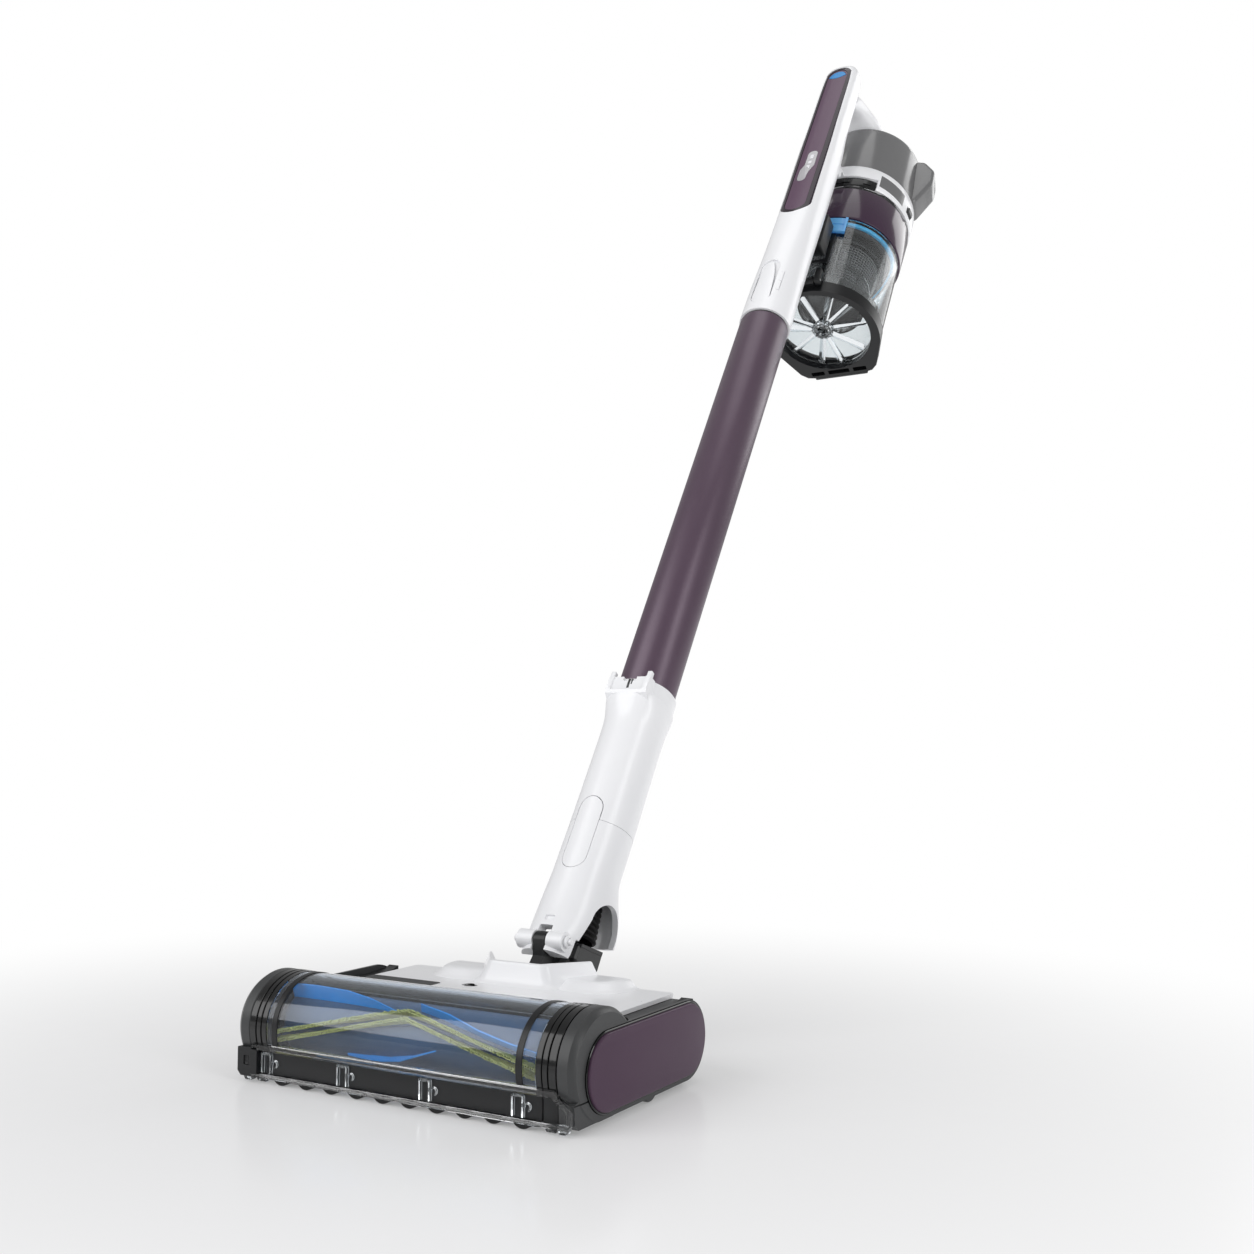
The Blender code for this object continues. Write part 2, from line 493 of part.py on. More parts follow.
def build_yoke(stick, head):
    """Swivel between the neck and the head: pin boss, air elbow and roll pipe."""
    finish("pitch_pin", rod(0.0024, -0.0240, 0.0240, (0, PIN_Y, 0), "X", 20), WHITE, stick,
           (0, PIN_Y, 0))
    pin = stick_to_head(0, PIN_Y, 0)
    boss = [(0.1420, 0.0236), (0.1600, 0.0236), (pin.y + 0.0061, pin.z - 0.0100)]
    boss += arc((pin.y, pin.z), 0.0062, -10, 170, 8) + [(pin.y - 0.0062, pin.z - 0.0100),
                                                        (0.1485, 0.0570), (0.1420, 0.0500)]
    yoke = finish("swivel_yoke", slab(boss, -0.0049, 0.0049, "X"), BLACK, head, (0, 0.1400, ROLL_Z))
    join(yoke, block((-0.0146, 0.1366, 0.0222), (0.0146, 0.1497, 0.0515)),
         rod(0.0130, 0.0850, 0.1380, (0, 0, ROLL_Z), "Y", 20))
    cut(yoke, rod(0.0108, 0.0700, 0.1445, (0, 0, ROLL_Z), "Y", 20),
        rod(0.0027, -0.0300, 0.0300, tuple(pin), "X", 20))
    elbow_side = [(0.1503, 0.0240), (0.1620, 0.0240), (0.1960, 0.0420),
                  stick_to_head(0, 0.0185, 0.0040).yz, stick_to_head(0, 0.0185, 0.0160).yz,
                  stick_to_head(0, -0.0060, 0.0100).yz, stick_to_head(0, -0.0080, -0.0060).yz,
                  (0.1503, 0.0490)]
    elbow = finish("air_elbow", slab(elbow_side, -0.0142, 0.0142, "X"), DARK, head,
                   (0, 0.1400, ROLL_Z), bevel=0.0020)
    cut(elbow, block((-0.0053, 0.1400, 0.0200), (0.0053, 0.1790, 0.0900)))


def stick_to_head(x, y, z):
    """A point of stick_frame, given in head_frame."""
    return Vector(STICK_ORIGIN) + Matrix.Rotation(-LEAN, 3, "X") @ Vector((x, y, z))


def build_hose(stick):
    """Corrugated hose from the elbow up to the neck's air pipe."""
    def ring(share, radius):
        height = HOSE_LOW + (HOSE_HIGH - HOSE_LOW) * share
        return [(x, y + HOSE_SHIFT * (1 - share), z)
                for x, y, z in oval(radius, -radius, radius, height, 2.0, 20)]

    outside = [ring(i / (2 * HOSE_FOLDS), HOSE_RADIUS if i % 2 else HOSE_RADIUS - 0.0018)
               for i in range(2 * HOSE_FOLDS + 1)]
    inside = [ring(share, HOSE_RADIUS - 0.0032) for share in (1.0, 0.5, 0.0)]
    finish("flex_hose", loft(outside + inside, closed=True), RUBBER, stick)


# ---- floor head ----

WINDOW_HALF = 0.1000
WINDOW_LOW, WINDOW_TOP = 196, 60        # degrees round the brush axis
BAND_TOP = 34
COVER_HALF = 0.1090
SOLE_LOW, SOLE_HIGH = 0.0035, 0.0062
END_IN, END_OUT = 0.1190, 0.1303


def shell_arc(outer, inner, start, end, steps=12):
    centre = (BRUSH_Y, BRUSH_Z)
    return arc(centre, outer, start, end, steps) + arc(centre, inner, end, start, steps)


def mirrored(side, near, far):
    return sorted((side * near, side * far))


def build_head_shells(head):
    body = [(0.0600, 0.0065), (0.1590, 0.0065), (0.1610, 0.0200), (0.1610, 0.0420), (0.1560, 0.0500),
            (0.0600, 0.0500)]
    chassis = finish("head_chassis", slab(body, -0.1180, 0.1180, "X"), BLACK, head)
    cut(chassis,
        rod(0.0352, -0.1300, 0.1300, (0, BRUSH_Y, BRUSH_Z), "X", 40),
        rod(0.0136, 0.0500, 0.1200, (0, 0, ROLL_Z), "Y", 20),
        rod(0.0035, -0.1080, -0.1040, (0, PINION_Y, PINION_Z), "X", 12),
        block((-0.0440, 0.1100, 0.0155), (0.0440, 0.1700, 0.0600)),
        block((-0.1060, 0.0860, 0.0120), (-0.0500, 0.1500, 0.0460)),
        block((-0.1142, 0.0300, 0.0100), (-0.1068, 0.1500, 0.0460)),
        block((0.0560, 0.0860, 0.0100), (0.1100, 0.1500, 0.0450)),
        block((-0.1300, 0.0820, 0.0000), (-0.0880, 0.1040, 0.0210)),
        block((0.0880, 0.0820, 0.0000), (0.1300, 0.1040, 0.0210)))
    sole = finish("sole_plate", block((-0.1180, 0.0040, SOLE_LOW), (0.1180, 0.1585, SOLE_HIGH)), BLACK,
                  head, bevel=0.0006)
    cut(sole, block((-0.1065, 0.0140, 0.0), (0.1065, 0.0600, 0.02)),
        block((-0.1085, 0.0830, 0.0), (-0.0915, 0.1030, 0.02)),
        block((0.0915, 0.0830, 0.0), (0.1085, 0.1030, 0.02)),
        block((-0.1165, 0.0030, 0.0), (-0.1080, 0.0135, 0.02)),
        block((0.1080, 0.0030, 0.0), (0.1165, 0.0135, 0.02)))
    cover = finish("top_cover", block((-COVER_HALF, 0.0680, 0.0503), (COVER_HALF, 0.1605, DECK_Z)),
                   WHITE, head)
    tub = loft([[(-0.0320, 0.1270, 0.0505), (0.0320, 0.1270, 0.0505), (0.0530, 0.1605, 0.0505),
                 (-0.0530, 0.1605, 0.0505)],
                [(-0.0255, 0.1305, 0.0680), (0.0255, 0.1305, 0.0680), (0.0450, 0.1605, 0.0680),
                 (-0.0450, 0.1605, 0.0680)]])
    join(cover, tub)
    for side in (-1, 1):
        hump = loft([oval_at(0.0280, 0.0150, (side * 0.0560, 0.1455), 0.0505),
                     oval_at(0.0240, 0.0130, (side * 0.0560, 0.1465), 0.0570),
                     oval_at(0.0180, 0.0090, (side * 0.0550, 0.1480), 0.0590)])
        join(cover, hump)
    cut(cover,
        loft([[(-0.0290, 0.1290, 0.0450), (0.0290, 0.1290, 0.0450), (0.0490, 0.1700, 0.0450),
               (-0.0490, 0.1700, 0.0450)],
              [(-0.0230, 0.1330, 0.0700), (0.0230, 0.1330, 0.0700), (0.0430, 0.1700, 0.0700),
               (-0.0430, 0.1700, 0.0700)]]),
        block((-0.1095, 0.0995, 0.0522), (-0.0480, 0.1115, 0.0600)),
        block((-0.0305, 0.1105, 0.0470), (-0.0195, 0.1165, 0.0600)))
    finish("cover_inlay", block((-0.1087, 0.0998, 0.0525), (-0.0483, 0.1112, DECK_Z + 0.0002)), DARK,
           head)
    finish("window_latch", block((-0.0302, 0.1108, 0.0510), (-0.0228, 0.1162, 0.0538)), BLACK, head,
           (-0.0265, 0.1135, 0.0530), bevel=0.0006)
    finish("front_window", slab(shell_arc(DOME_RADIUS, DOME_RADIUS - 0.0020, WINDOW_TOP, WINDOW_LOW, 16),
                                -WINDOW_HALF, WINDOW_HALF, "X"), SMOKE, head)
    finish("window_band", slab(shell_arc(DOME_RADIUS + 0.0004, DOME_RADIUS - 0.0026, BAND_TOP,
                                         WINDOW_TOP - 0.6, 4), -0.1180, 0.1180, "X"), BLACK, head)
    for side, label in ((-1, "left"), (1, "right")):
        near, far = mirrored(side, WINDOW_HALF + GAP, 0.1186)
        finish(f"window_end_{label}", slab(shell_arc(DOME_RADIUS + 0.0006, DOME_RADIUS - 0.0026,
                                                     WINDOW_TOP, WINDOW_LOW, 14), near, far, "X"),
               BLACK, head)
    finish("front_bar", block((-0.1078, 0.0046, 0.0066), (0.1078, 0.0078, 0.0190)), BLACK, head,
           bevel=0.0008)
    bumper = [(0.0008, 0.0050), (0.0026, 0.0040), (0.0036, 0.0048), (0.0026, 0.0060), (0.0026, 0.0225),
              (0.0028, 0.0236), (0.0028, 0.0252), (0.0010, 0.0252)]
    finish("front_bumper", slab(bumper, -0.1180, 0.1180, "X"), CLEAR, head)


def oval_at(half_x, half_y, centre, height, count=20):
    return [(centre[0] + half_x * cos(2 * pi * i / count),
             centre[1] + half_y * sin(2 * pi * i / count), height) for i in range(count)]


def stadium_side(low_y, high_y, low_z, high_z, steps=10):
    """Round-ended outline along Y, as (y, z) points."""
    radius, middle = (high_z - low_z) / 2, (high_z + low_z) / 2
    return (arc((high_y - radius, middle), radius, -90, 90, steps)
            + arc((low_y + radius, middle), radius, 90, 270, steps))


def build_ends(head):
    for side, label in ((-1, "left"), (1, "right")):
        near, far = mirrored(side, END_IN, END_OUT)
        housing = finish(f"end_housing_{label}",
                         slab(stadium_side(0.0125, 0.1618, 0.0040, 0.0543), near, far, "X"), GREY, head)
        join(housing, rod(0.0356, near, far, (0, BRUSH_Y, BRUSH_Z), "X", 40))
        low_x, high_x = mirrored(side, 0.1280, 0.1400)
        cut(housing, block((min(near, far) - 0.01, -0.01, -0.01), (max(near, far) + 0.01, 0.17, 0.0035)),
            slab(stadium_side(0.0147, 0.1583, 0.0067, 0.0533), low_x, high_x, "X"))
        low_x, high_x = mirrored(side, 0.1283, HEAD_HALF)
        finish(f"end_cap_{label}", slab(stadium_side(0.0150, 0.1580, 0.0070, 0.0530), low_x, high_x,
                                        "X"), PLUM, head, bevel=0.0008)


BRUSH_CORE, BRUSH_TIP = 0.0205, 0.0315
BELT_X = -0.1105
PULLEY_RADIUS, PINION_RADIUS = 0.0120, 0.0060
PINION_Y, PINION_Z = 0.1150, 0.0290


def build_brush(head):
    pivot = (0, BRUSH_Y, BRUSH_Z)
    finish("brush_drum", turned([(0, -0.1135), (0.0040, -0.1135), (0.0040, -BRUSH_HALF + 0.0030),
                                 (BRUSH_CORE - 0.0025, -BRUSH_HALF + 0.0030),
                                 (BRUSH_CORE - 0.0025, BRUSH_HALF - 0.0030),
                                 (0.0040, BRUSH_HALF - 0.0030), (0.0040, 0.1180), (0, 0.1180)],
                                pivot, "X", 20), SLATE, head, pivot)
    rings = []
    stations = 10
    for i in range(stations + 1):
        share = i / stations
        x = -0.1045 + 0.2090 * share
        twist = 0.9 * (1 - abs(2 * share - 1))
        ring = []
        for k in range(24):
            tip = {0: BRUSH_TIP, 2: BRUSH_TIP - 0.0030}.get(k % 6, BRUSH_CORE)
            a = 2 * pi * k / 24 + twist
            ring.append((x, BRUSH_Y + tip * cos(a), BRUSH_Z + tip * sin(a)))
        rings.append(ring)
    sleeve = finish("brush_sleeve", loft(rings), BLUE, head, pivot)
    cut(sleeve, rod(BRUSH_CORE - 0.0022, -0.1200, 0.1200, pivot, "X", 20))
    finish("brush_pulley", tube(PULLEY_RADIUS, 0.0043, BELT_X - 0.0030, BELT_X + 0.0030, pivot, "X", 24),
           BLACK, head, pivot)
    motor_pivot = (0, PINION_Y, PINION_Z)
    finish("brush_motor", turned([(0, -0.0960), (0.0140, -0.0960), (0.0150, -0.0940),
                                  (0.0150, -0.0560), (0.0140, -0.0540), (0, -0.0540)], motor_pivot,
                                 "X", 24), COPPER, head)
    finish("motor_pinion", turned([(0, BELT_X - 0.0030), (PINION_RADIUS, BELT_X - 0.0030),
                                   (PINION_RADIUS, BELT_X + 0.0030), (0.0020, BELT_X + 0.0030),
                                   (0.0020, -0.0963), (0, -0.0963)], motor_pivot, "X", 20),
           STEEL, head, motor_pivot)
    finish("drive_belt", belt_shape(), RUBBER, head)


def belt_shape():
    """Closed belt round both pulleys, from its outer and inner runs."""
    reach = Vector((PINION_Y - BRUSH_Y, PINION_Z - BRUSH_Z))
    tilt = reach.angle_signed(Vector((1, 0)))

    def run(offset):
        lean = (PULLEY_RADIUS - PINION_RADIUS) / reach.length
        big, small = PULLEY_RADIUS + offset, PINION_RADIUS + offset
        quarter = pi / 2 - lean
        points = []
        for i in range(9):
            a = tilt - quarter + 2 * quarter * i / 8
            points.append((PINION_Y + small * cos(a), PINION_Z + small * sin(a)))
        for i in range(13):
            a = tilt + quarter + (2 * pi - 2 * quarter) * i / 12
            points.append((BRUSH_Y + big * cos(a), BRUSH_Z + big * sin(a)))
        return points

    outer, inner = run(0.0018), run(GAP)
    left, right = BELT_X - 0.0026, BELT_X + 0.0026
    return loft([[(x, y, z) for y, z in points] for x, points in
                 ((left, outer), (right, outer), (right, inner), (left, inner))], closed=True)


WHEEL_Y, WHEEL_Z, WHEEL_RADIUS = 0.0930, 0.0095, 0.0095
ROLLER_Y, ROLLER_Z, ROLLER_RADIUS = 0.0085, 0.0045, 0.0045


def build_wheels(head):
    for side, label in ((-1, "left"), (1, "right")):
        near, far = mirrored(side, 0.0940, 0.1060)
        centre = (0, WHEEL_Y, WHEEL_Z)
        finish(f"wheel_{label}", rod(WHEEL_RADIUS, near, far, centre, "X", 24), DARK, head, centre,
               bevel=0.0010)
        near, far = mirrored(side, 0.1085, 0.1160)
        centre = (0, ROLLER_Y, ROLLER_Z)
        finish(f"front_roller_{label}", rod(ROLLER_RADIUS - 0.0002, near, far,
                                            (0, ROLLER_Y, ROLLER_Z - 0.0002), "X", 20), CLEAR,
               head, centre)


def stand_on_origin(frames):
    """Moves the whole object so that its box is centred over the origin and rests on the floor."""
    bpy.context.view_layer.update()
    graph = bpy.context.evaluated_depsgraph_get()
    points = []
    for piece in bpy.context.scene.objects:
        if piece.type == "MESH" and not piece.hide_render:
            shown = piece.evaluated_get(graph)
            points += [shown.matrix_world @ v.co for v in shown.data.vertices]
    middle = [(min(p[i] for p in points) + max(p[i] for p in points)) / 2 for i in (0, 1)]
    floor = min(p.z for p in points)
    for frame in frames:
        frame.location = frame.location - Vector((middle[0], middle[1], floor))


def main():
    clear_scene()
    head = empty("head_frame")
    stick = empty("stick_frame", None, STICK_ORIGIN)
    stick.rotation_euler = (-LEAN, 0, 0)
    build_spine(stick)
    build_battery(stick)
    build_motor_unit(stick)
    build_dust_cup(stick)
    build_cup_door(stick)
    build_wand(stick)
    build_neck(stick)
    build_yoke(stick, head)
    build_hose(stick)
    build_head_shells(head)
    build_ends(head)
    build_brush(head)
    build_wheels(head)
    stand_on_origin((head, stick))


main()
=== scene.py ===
from random import Random
from math import radians, sin, cos, pi, atan2, hypot, copysign

import bpy
import bmesh
from mathutils import Matrix, Vector


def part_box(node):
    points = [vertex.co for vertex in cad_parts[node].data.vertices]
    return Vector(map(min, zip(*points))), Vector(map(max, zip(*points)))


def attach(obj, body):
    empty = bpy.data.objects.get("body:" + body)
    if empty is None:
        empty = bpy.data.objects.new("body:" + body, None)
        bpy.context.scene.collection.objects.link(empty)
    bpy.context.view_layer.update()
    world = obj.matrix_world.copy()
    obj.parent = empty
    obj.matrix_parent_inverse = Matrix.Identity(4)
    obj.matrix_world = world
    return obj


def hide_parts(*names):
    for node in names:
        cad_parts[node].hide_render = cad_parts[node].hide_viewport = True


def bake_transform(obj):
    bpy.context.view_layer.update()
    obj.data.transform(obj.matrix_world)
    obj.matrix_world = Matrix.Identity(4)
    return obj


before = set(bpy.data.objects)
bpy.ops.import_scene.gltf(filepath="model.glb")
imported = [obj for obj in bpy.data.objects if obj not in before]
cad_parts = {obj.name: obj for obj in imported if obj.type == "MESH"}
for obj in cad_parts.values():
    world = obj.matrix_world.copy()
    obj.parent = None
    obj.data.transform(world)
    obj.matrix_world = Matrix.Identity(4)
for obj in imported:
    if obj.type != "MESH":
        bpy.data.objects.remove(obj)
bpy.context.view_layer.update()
print("frame loaded")

# Two places to work in: the floor head's front edge, and the wand's axis leaning back from its hinge.
lean, hingeY, hingeZ = radians(-32.8), 0.1883, 0.0637
headPlace = Matrix.Translation((0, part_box("front_bumper")[0].y - 0.0008, 0))
stickPlace = headPlace @ Matrix.Translation((0, hingeY, hingeZ)) @ Matrix.Rotation(lean, 4, "X")
gap = 0.0003  # between pieces that meet


# Shape helpers: each gives a bmesh, and worked() joins or cuts them.

def finer(rows, steps):
    # smooth rows between the given ones
    out = []
    for i in range(len(rows) - 1):
        around = (rows[max(i - 1, 0)], rows[i], rows[i + 1], rows[min(i + 2, len(rows) - 1)])
        for k in range(steps):
            t = k / steps
            out.append(tuple(0.5 * (2 * q + (r - p) * t + (2 * p - 5 * q + 4 * r - s) * t * t
                                    + (3 * q - p - 3 * r + s) * t ** 3)
                             for p, q, r, s in zip(*around)))
    return out + [tuple(rows[-1])]


def ovalLoop(shape, halfX, front, rear, height, power=2.0, count=64):
    ring = bmesh.ops.create_circle(shape, segments=count, radius=1.0)["verts"]
    middle, halfY = (front + rear) / 2, (rear - front) / 2
    for v in ring:
        x, y = (copysign(abs(c) ** (2 / power), c) for c in v.co.xy)
        v.co = (halfX * x, middle + halfY * y, height)
    return list({e for v in ring for e in v.link_edges})


def loft(rows, inset=0.0, count=64):
    # rows of height, half width, front, rear and squareness
    shape = bmesh.new()
    loops = [ovalLoop(shape, x - inset, front + inset, rear - inset, z, power, count)
             for z, x, front, rear, power in rows]
    for near, far in zip(loops, loops[1:]):
        bmesh.ops.bridge_loops(shape, edges=near + far)
    for end in (loops[0], loops[-1]):
        bmesh.ops.edgeloop_fill(shape, edges=end)
    bmesh.ops.recalc_face_normals(shape, faces=shape.faces)
    return shape


def slab(outline, low, high, axis="Z"):
    at = {"X": lambda p: (low, p[0], p[1]), "Y": lambda p: (p[0], low, p[1]),
          "Z": lambda p: (p[0], p[1], low)}
    step = Vector([(high - low) * (axis == a) for a in "XYZ"])
    shape = bmesh.new()
    face = shape.faces.new([shape.verts.new(at[axis](p)) for p in outline])
    grown = bmesh.ops.extrude_face_region(shape, geom=[face])["geom"]
    bmesh.ops.translate(shape, verts=[v for v in grown if isinstance(v, bmesh.types.BMVert)], vec=step)
    bmesh.ops.recalc_face_normals(shape, faces=shape.faces)
    return shape


def block(low, high, round=0.0, segments=3):
    shape = bmesh.new()
    bmesh.ops.create_cube(shape, size=1.0)
    size, middle = Vector(high) - Vector(low), (Vector(high) + Vector(low)) / 2
    bmesh.ops.scale(shape, vec=size, verts=shape.verts)
    bmesh.ops.translate(shape, vec=middle, verts=shape.verts)
    if round:
        bmesh.ops.bevel(shape, geom=shape.edges[:], offset=round, affect="EDGES", segments=segments,
                        profile=0.5, material=-1, offset_type="OFFSET")
    return shape


def turned(profile, centre=(0, 0, 0), axis="Z", steps=96):
    # a closed profile of radius and height, turned all the way round
    shape = bmesh.new()
    rim = [shape.verts.new((r, 0, h)) for r, h in profile]
    edges = [shape.edges.new((rim[i], rim[(i + 1) % len(rim)])) for i in range(len(rim))]
    bmesh.ops.spin(shape, geom=rim + edges, cent=(0, 0, 0), axis=(0, 0, 1), angle=2 * pi, steps=steps,
                   use_merge=True)
    bmesh.ops.remove_doubles(shape, verts=shape.verts, dist=1e-6)
    bmesh.ops.dissolve_degenerate(shape, edges=shape.edges, dist=1e-7)
    bmesh.ops.delete(shape, geom=[e for e in shape.edges if not e.link_faces], context="EDGES")
    turn = {"Z": Matrix(), "X": Matrix.Rotation(pi / 2, 4, "Y"), "Y": Matrix.Rotation(-pi / 2, 4, "X")}[axis]
    bmesh.ops.transform(shape, matrix=Matrix.Translation(centre) @ turn, verts=shape.verts)
    bmesh.ops.recalc_face_normals(shape, faces=shape.faces)
    return shape


def rod(radius, low, high, centre=(0, 0, 0), axis="Z", steps=48):
    return turned([(0, low), (radius, low), (radius, high), (0, high)], centre, axis, steps)


def partTurned(profile, centre, axis, start, end, steps):
    # a closed profile swung through part of a turn; about X it starts at +Y, about Z at +X
    shape = bmesh.new()
    at = {"X": lambda r, h: (h, r, 0), "Z": lambda r, h: (r, 0, h)}[axis]
    face = shape.faces.new([shape.verts.new(at(r, h)) for r, h in profile])
    line = Vector((axis == "X", 0, axis == "Z"))
    bmesh.ops.rotate(shape, verts=shape.verts, matrix=Matrix.Rotation(radians(start), 3, line))
    bmesh.ops.spin(shape, geom=[face], cent=(0, 0, 0), axis=line, angle=radians(end - start), steps=steps)
    bmesh.ops.translate(shape, verts=shape.verts, vec=centre)
    bmesh.ops.remove_doubles(shape, verts=shape.verts, dist=1e-7)
    inside = [f for f in shape.faces if all(len(e.link_faces) > 2 for e in f.edges)]
    bmesh.ops.delete(shape, geom=inside, context="FACES_ONLY")
    bmesh.ops.recalc_face_normals(shape, faces=shape.faces)
    return shape


def arc(centre, radius, start, end, steps):
    return [(centre[0] + radius * cos(radians(start + (end - start) * i / steps)),
             centre[1] + radius * sin(radians(start + (end - start) * i / steps))) for i in range(steps + 1)]


def stadium(half, low, high, steps=20):
    return arc((0, high - half), half, 0, 180, steps) + arc((0, low + half), half, 180, 360, steps)


def roundedBox(low, high, radius, steps=6):
    corners = ((high[0], high[1], 0), (low[0], high[1], 90), (low[0], low[1], 180), (high[0], low[1], 270))
    points = []
    for x, y, turn in corners:
        middle = (x - copysign(radius, x - (low[0] + high[0]) / 2),
                  y - copysign(radius, y - (low[1] + high[1]) / 2))
        points += arc(middle, radius, turn, turn + 90, steps)
    return points


def worked(shape, *tools, how="DIFFERENCE"):
    # cuts, joins or crosses a shape with others and gives a new one
    def bare(part):
        mesh = bpy.data.meshes.new("bench")
        part.to_mesh(mesh)
        part.free()
        thing = bpy.data.objects.new("bench", mesh)
        bpy.context.scene.collection.objects.link(thing)
        return thing
    work, others = bare(shape), [bare(t) for t in tools]
    for other in others:
        step = work.modifiers.new("step", "BOOLEAN")
        step.operation, step.solver, step.object = how, "EXACT", other
    done = bmesh.new()
    done.from_mesh(work.evaluated_get(bpy.context.evaluated_depsgraph_get()).to_mesh())
    for thing in [work] + others:
        bpy.data.meshes.remove(thing.data)
    bmesh.ops.remove_doubles(done, verts=done.verts, dist=2e-6)
    bmesh.ops.dissolve_degenerate(done, edges=done.edges, dist=1e-6)
    return done


def merged(*shapes):
    # separate bodies in one piece
    whole = bmesh.new()
    for shape in shapes:
        mesh = bpy.data.meshes.new("bench")
        shape.to_mesh(mesh)
        shape.free()
        whole.from_mesh(mesh)
        bpy.data.meshes.remove(mesh)
    return whole


def makePiece(name, shape, place, finish, body, stands=(), bevel=0.0, segments=3, sharp=32):
    bmesh.ops.recalc_face_normals(shape, faces=shape.faces)
    bmesh.ops.transform(shape, matrix=place, verts=shape.verts)
    mesh = bpy.data.meshes.new(name)
    shape.to_mesh(mesh)
    shape.free()
    mesh.materials.append(finish)
    mesh.shade_smooth()
    mesh.set_sharp_from_angle(angle=radians(sharp))
    piece = bpy.data.objects.new(name, mesh)
    bpy.context.scene.collection.objects.link(piece)
    if bevel:
        edge = piece.modifiers.new("edge", "BEVEL")
        edge.width, edge.segments, edge.limit_method = bevel, segments, "ANGLE"
        edge.angle_limit, edge.harden_normals, edge.use_clamp_overlap = radians(sharp), True, True
        edge.miter_outer = "MITER_ARC"
    if body:
        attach(piece, body)
    if stands:
        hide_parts(*stands)
    return piece


# Finishes. Colours are given as the 0-255 values of a finished surface.

def tone(red, green, blue):
    # screen values to linear light
    return tuple((c / 255 / 12.92) if c <= 10 else ((c / 255 + 0.055) / 1.055) ** 2.4
                 for c in (red, green, blue)) + (1.0,)


def addNode(tree, kind, **values):
    made = tree.nodes.new(kind)
    for key, value in values.items():
        setattr(made, key, value)
    return made


def buildMouldedSkin():
    # slow colour drift, uneven gloss and a fine moulded grain, for every plastic and paint
    tree = bpy.data.node_groups.new("mouldedSkin", "ShaderNodeTree")
    sockets = tree.interface.new_socket
    for label, kind, value in (("Colour", "NodeSocketColor", (0.5, 0.5, 0.5, 1)),
                               ("Drift Colour", "NodeSocketColor", (0.5, 0.5, 0.5, 1)),
                               ("Drift Scale", "NodeSocketFloat", 12.0),
                               ("Grain Scale", "NodeSocketFloat", 900.0),
                               ("Roughness", "NodeSocketFloat", 0.3),
                               ("Roughness Spread", "NodeSocketFloat", 0.08),
                               ("Grain Depth", "NodeSocketFloat", 0.05)):
        sockets(name=label, in_out="INPUT", socket_type=kind).default_value = value
    for label, kind in (("Colour", "NodeSocketColor"), ("Roughness", "NodeSocketFloat"),
                        ("Normal", "NodeSocketVector")):
        sockets(name=label, in_out="OUTPUT", socket_type=kind)
    given, result = addNode(tree, "NodeGroupInput"), addNode(tree, "NodeGroupOutput")
    where = addNode(tree, "ShaderNodeTexCoord")
    drift, grain = addNode(tree, "ShaderNodeTexNoise"), addNode(tree, "ShaderNodeTexNoise")
    drift.inputs["Detail"].default_value, grain.inputs["Detail"].default_value = 3.0, 2.0
    mix = addNode(tree, "ShaderNodeMix", data_type="RGBA")
    smear = addNode(tree, "ShaderNodeTexNoise")
    smear.inputs["Scale"].default_value, smear.inputs["Detail"].default_value = 55.0, 4.0
    centred = addNode(tree, "ShaderNodeMath", operation="SUBTRACT")
    spread = addNode(tree, "ShaderNodeMath", operation="MULTIPLY")
    gloss = addNode(tree, "ShaderNodeMath", operation="ADD", use_clamp=True)
    bump = addNode(tree, "ShaderNodeBump")
    bump.inputs["Distance"].default_value = 0.0004
    centred.inputs[1].default_value = 0.5
    link = tree.links.new
    for texture, scale in ((drift, "Drift Scale"), (grain, "Grain Scale")):
        link(where.outputs["Object"], texture.inputs["Vector"])
        link(given.outputs[scale], texture.inputs["Scale"])
    link(where.outputs["Object"], smear.inputs["Vector"])
    link(drift.outputs["Fac"], mix.inputs["Factor"])
    link(given.outputs["Colour"], mix.inputs["A"])
    link(given.outputs["Drift Colour"], mix.inputs["B"])
    link(smear.outputs["Fac"], centred.inputs[0])
    link(centred.outputs[0], spread.inputs[0])
    link(given.outputs["Roughness Spread"], spread.inputs[1])
    link(spread.outputs[0], gloss.inputs[0])
    link(given.outputs["Roughness"], gloss.inputs[1])
    link(grain.outputs["Fac"], bump.inputs["Height"])
    link(given.outputs["Grain Depth"], bump.inputs["Strength"])
    link(mix.outputs["Result"], result.inputs["Colour"])
    link(gloss.outputs[0], result.inputs["Roughness"])
    link(bump.outputs["Normal"], result.inputs["Normal"])
    return tree


mouldedSkin = buildMouldedSkin()


def skinFinish(name, colour, drift, rough, spread=0.08, grain=0.05, grainScale=900.0, driftScale=12.0,
               **shaderValues):
    finish = bpy.data.materials.new(name)
    finish.use_nodes = True
    tree = finish.node_tree
    shader = tree.nodes["Principled BSDF"]
    skin = addNode(tree, "ShaderNodeGroup", node_tree=mouldedSkin)
    for label, value in (("Colour", tone(*colour)), ("Drift Colour", tone(*drift)),
                         ("Drift Scale", driftScale),
                         ("Grain Scale", grainScale), ("Roughness", rough), ("Roughness Spread", spread),
                         ("Grain Depth", grain)):
        skin.inputs[label].default_value = value
    tree.links.new(skin.outputs["Colour"], shader.inputs["Base Color"])
    tree.links.new(skin.outputs["Roughness"], shader.inputs["Roughness"])
    tree.links.new(skin.outputs["Normal"], shader.inputs["Normal"])
    for label, value in shaderValues.items():
        shader.inputs[label.replace("_", " ")].default_value = value
    finish.diffuse_color = tone(*colour)
    return finish


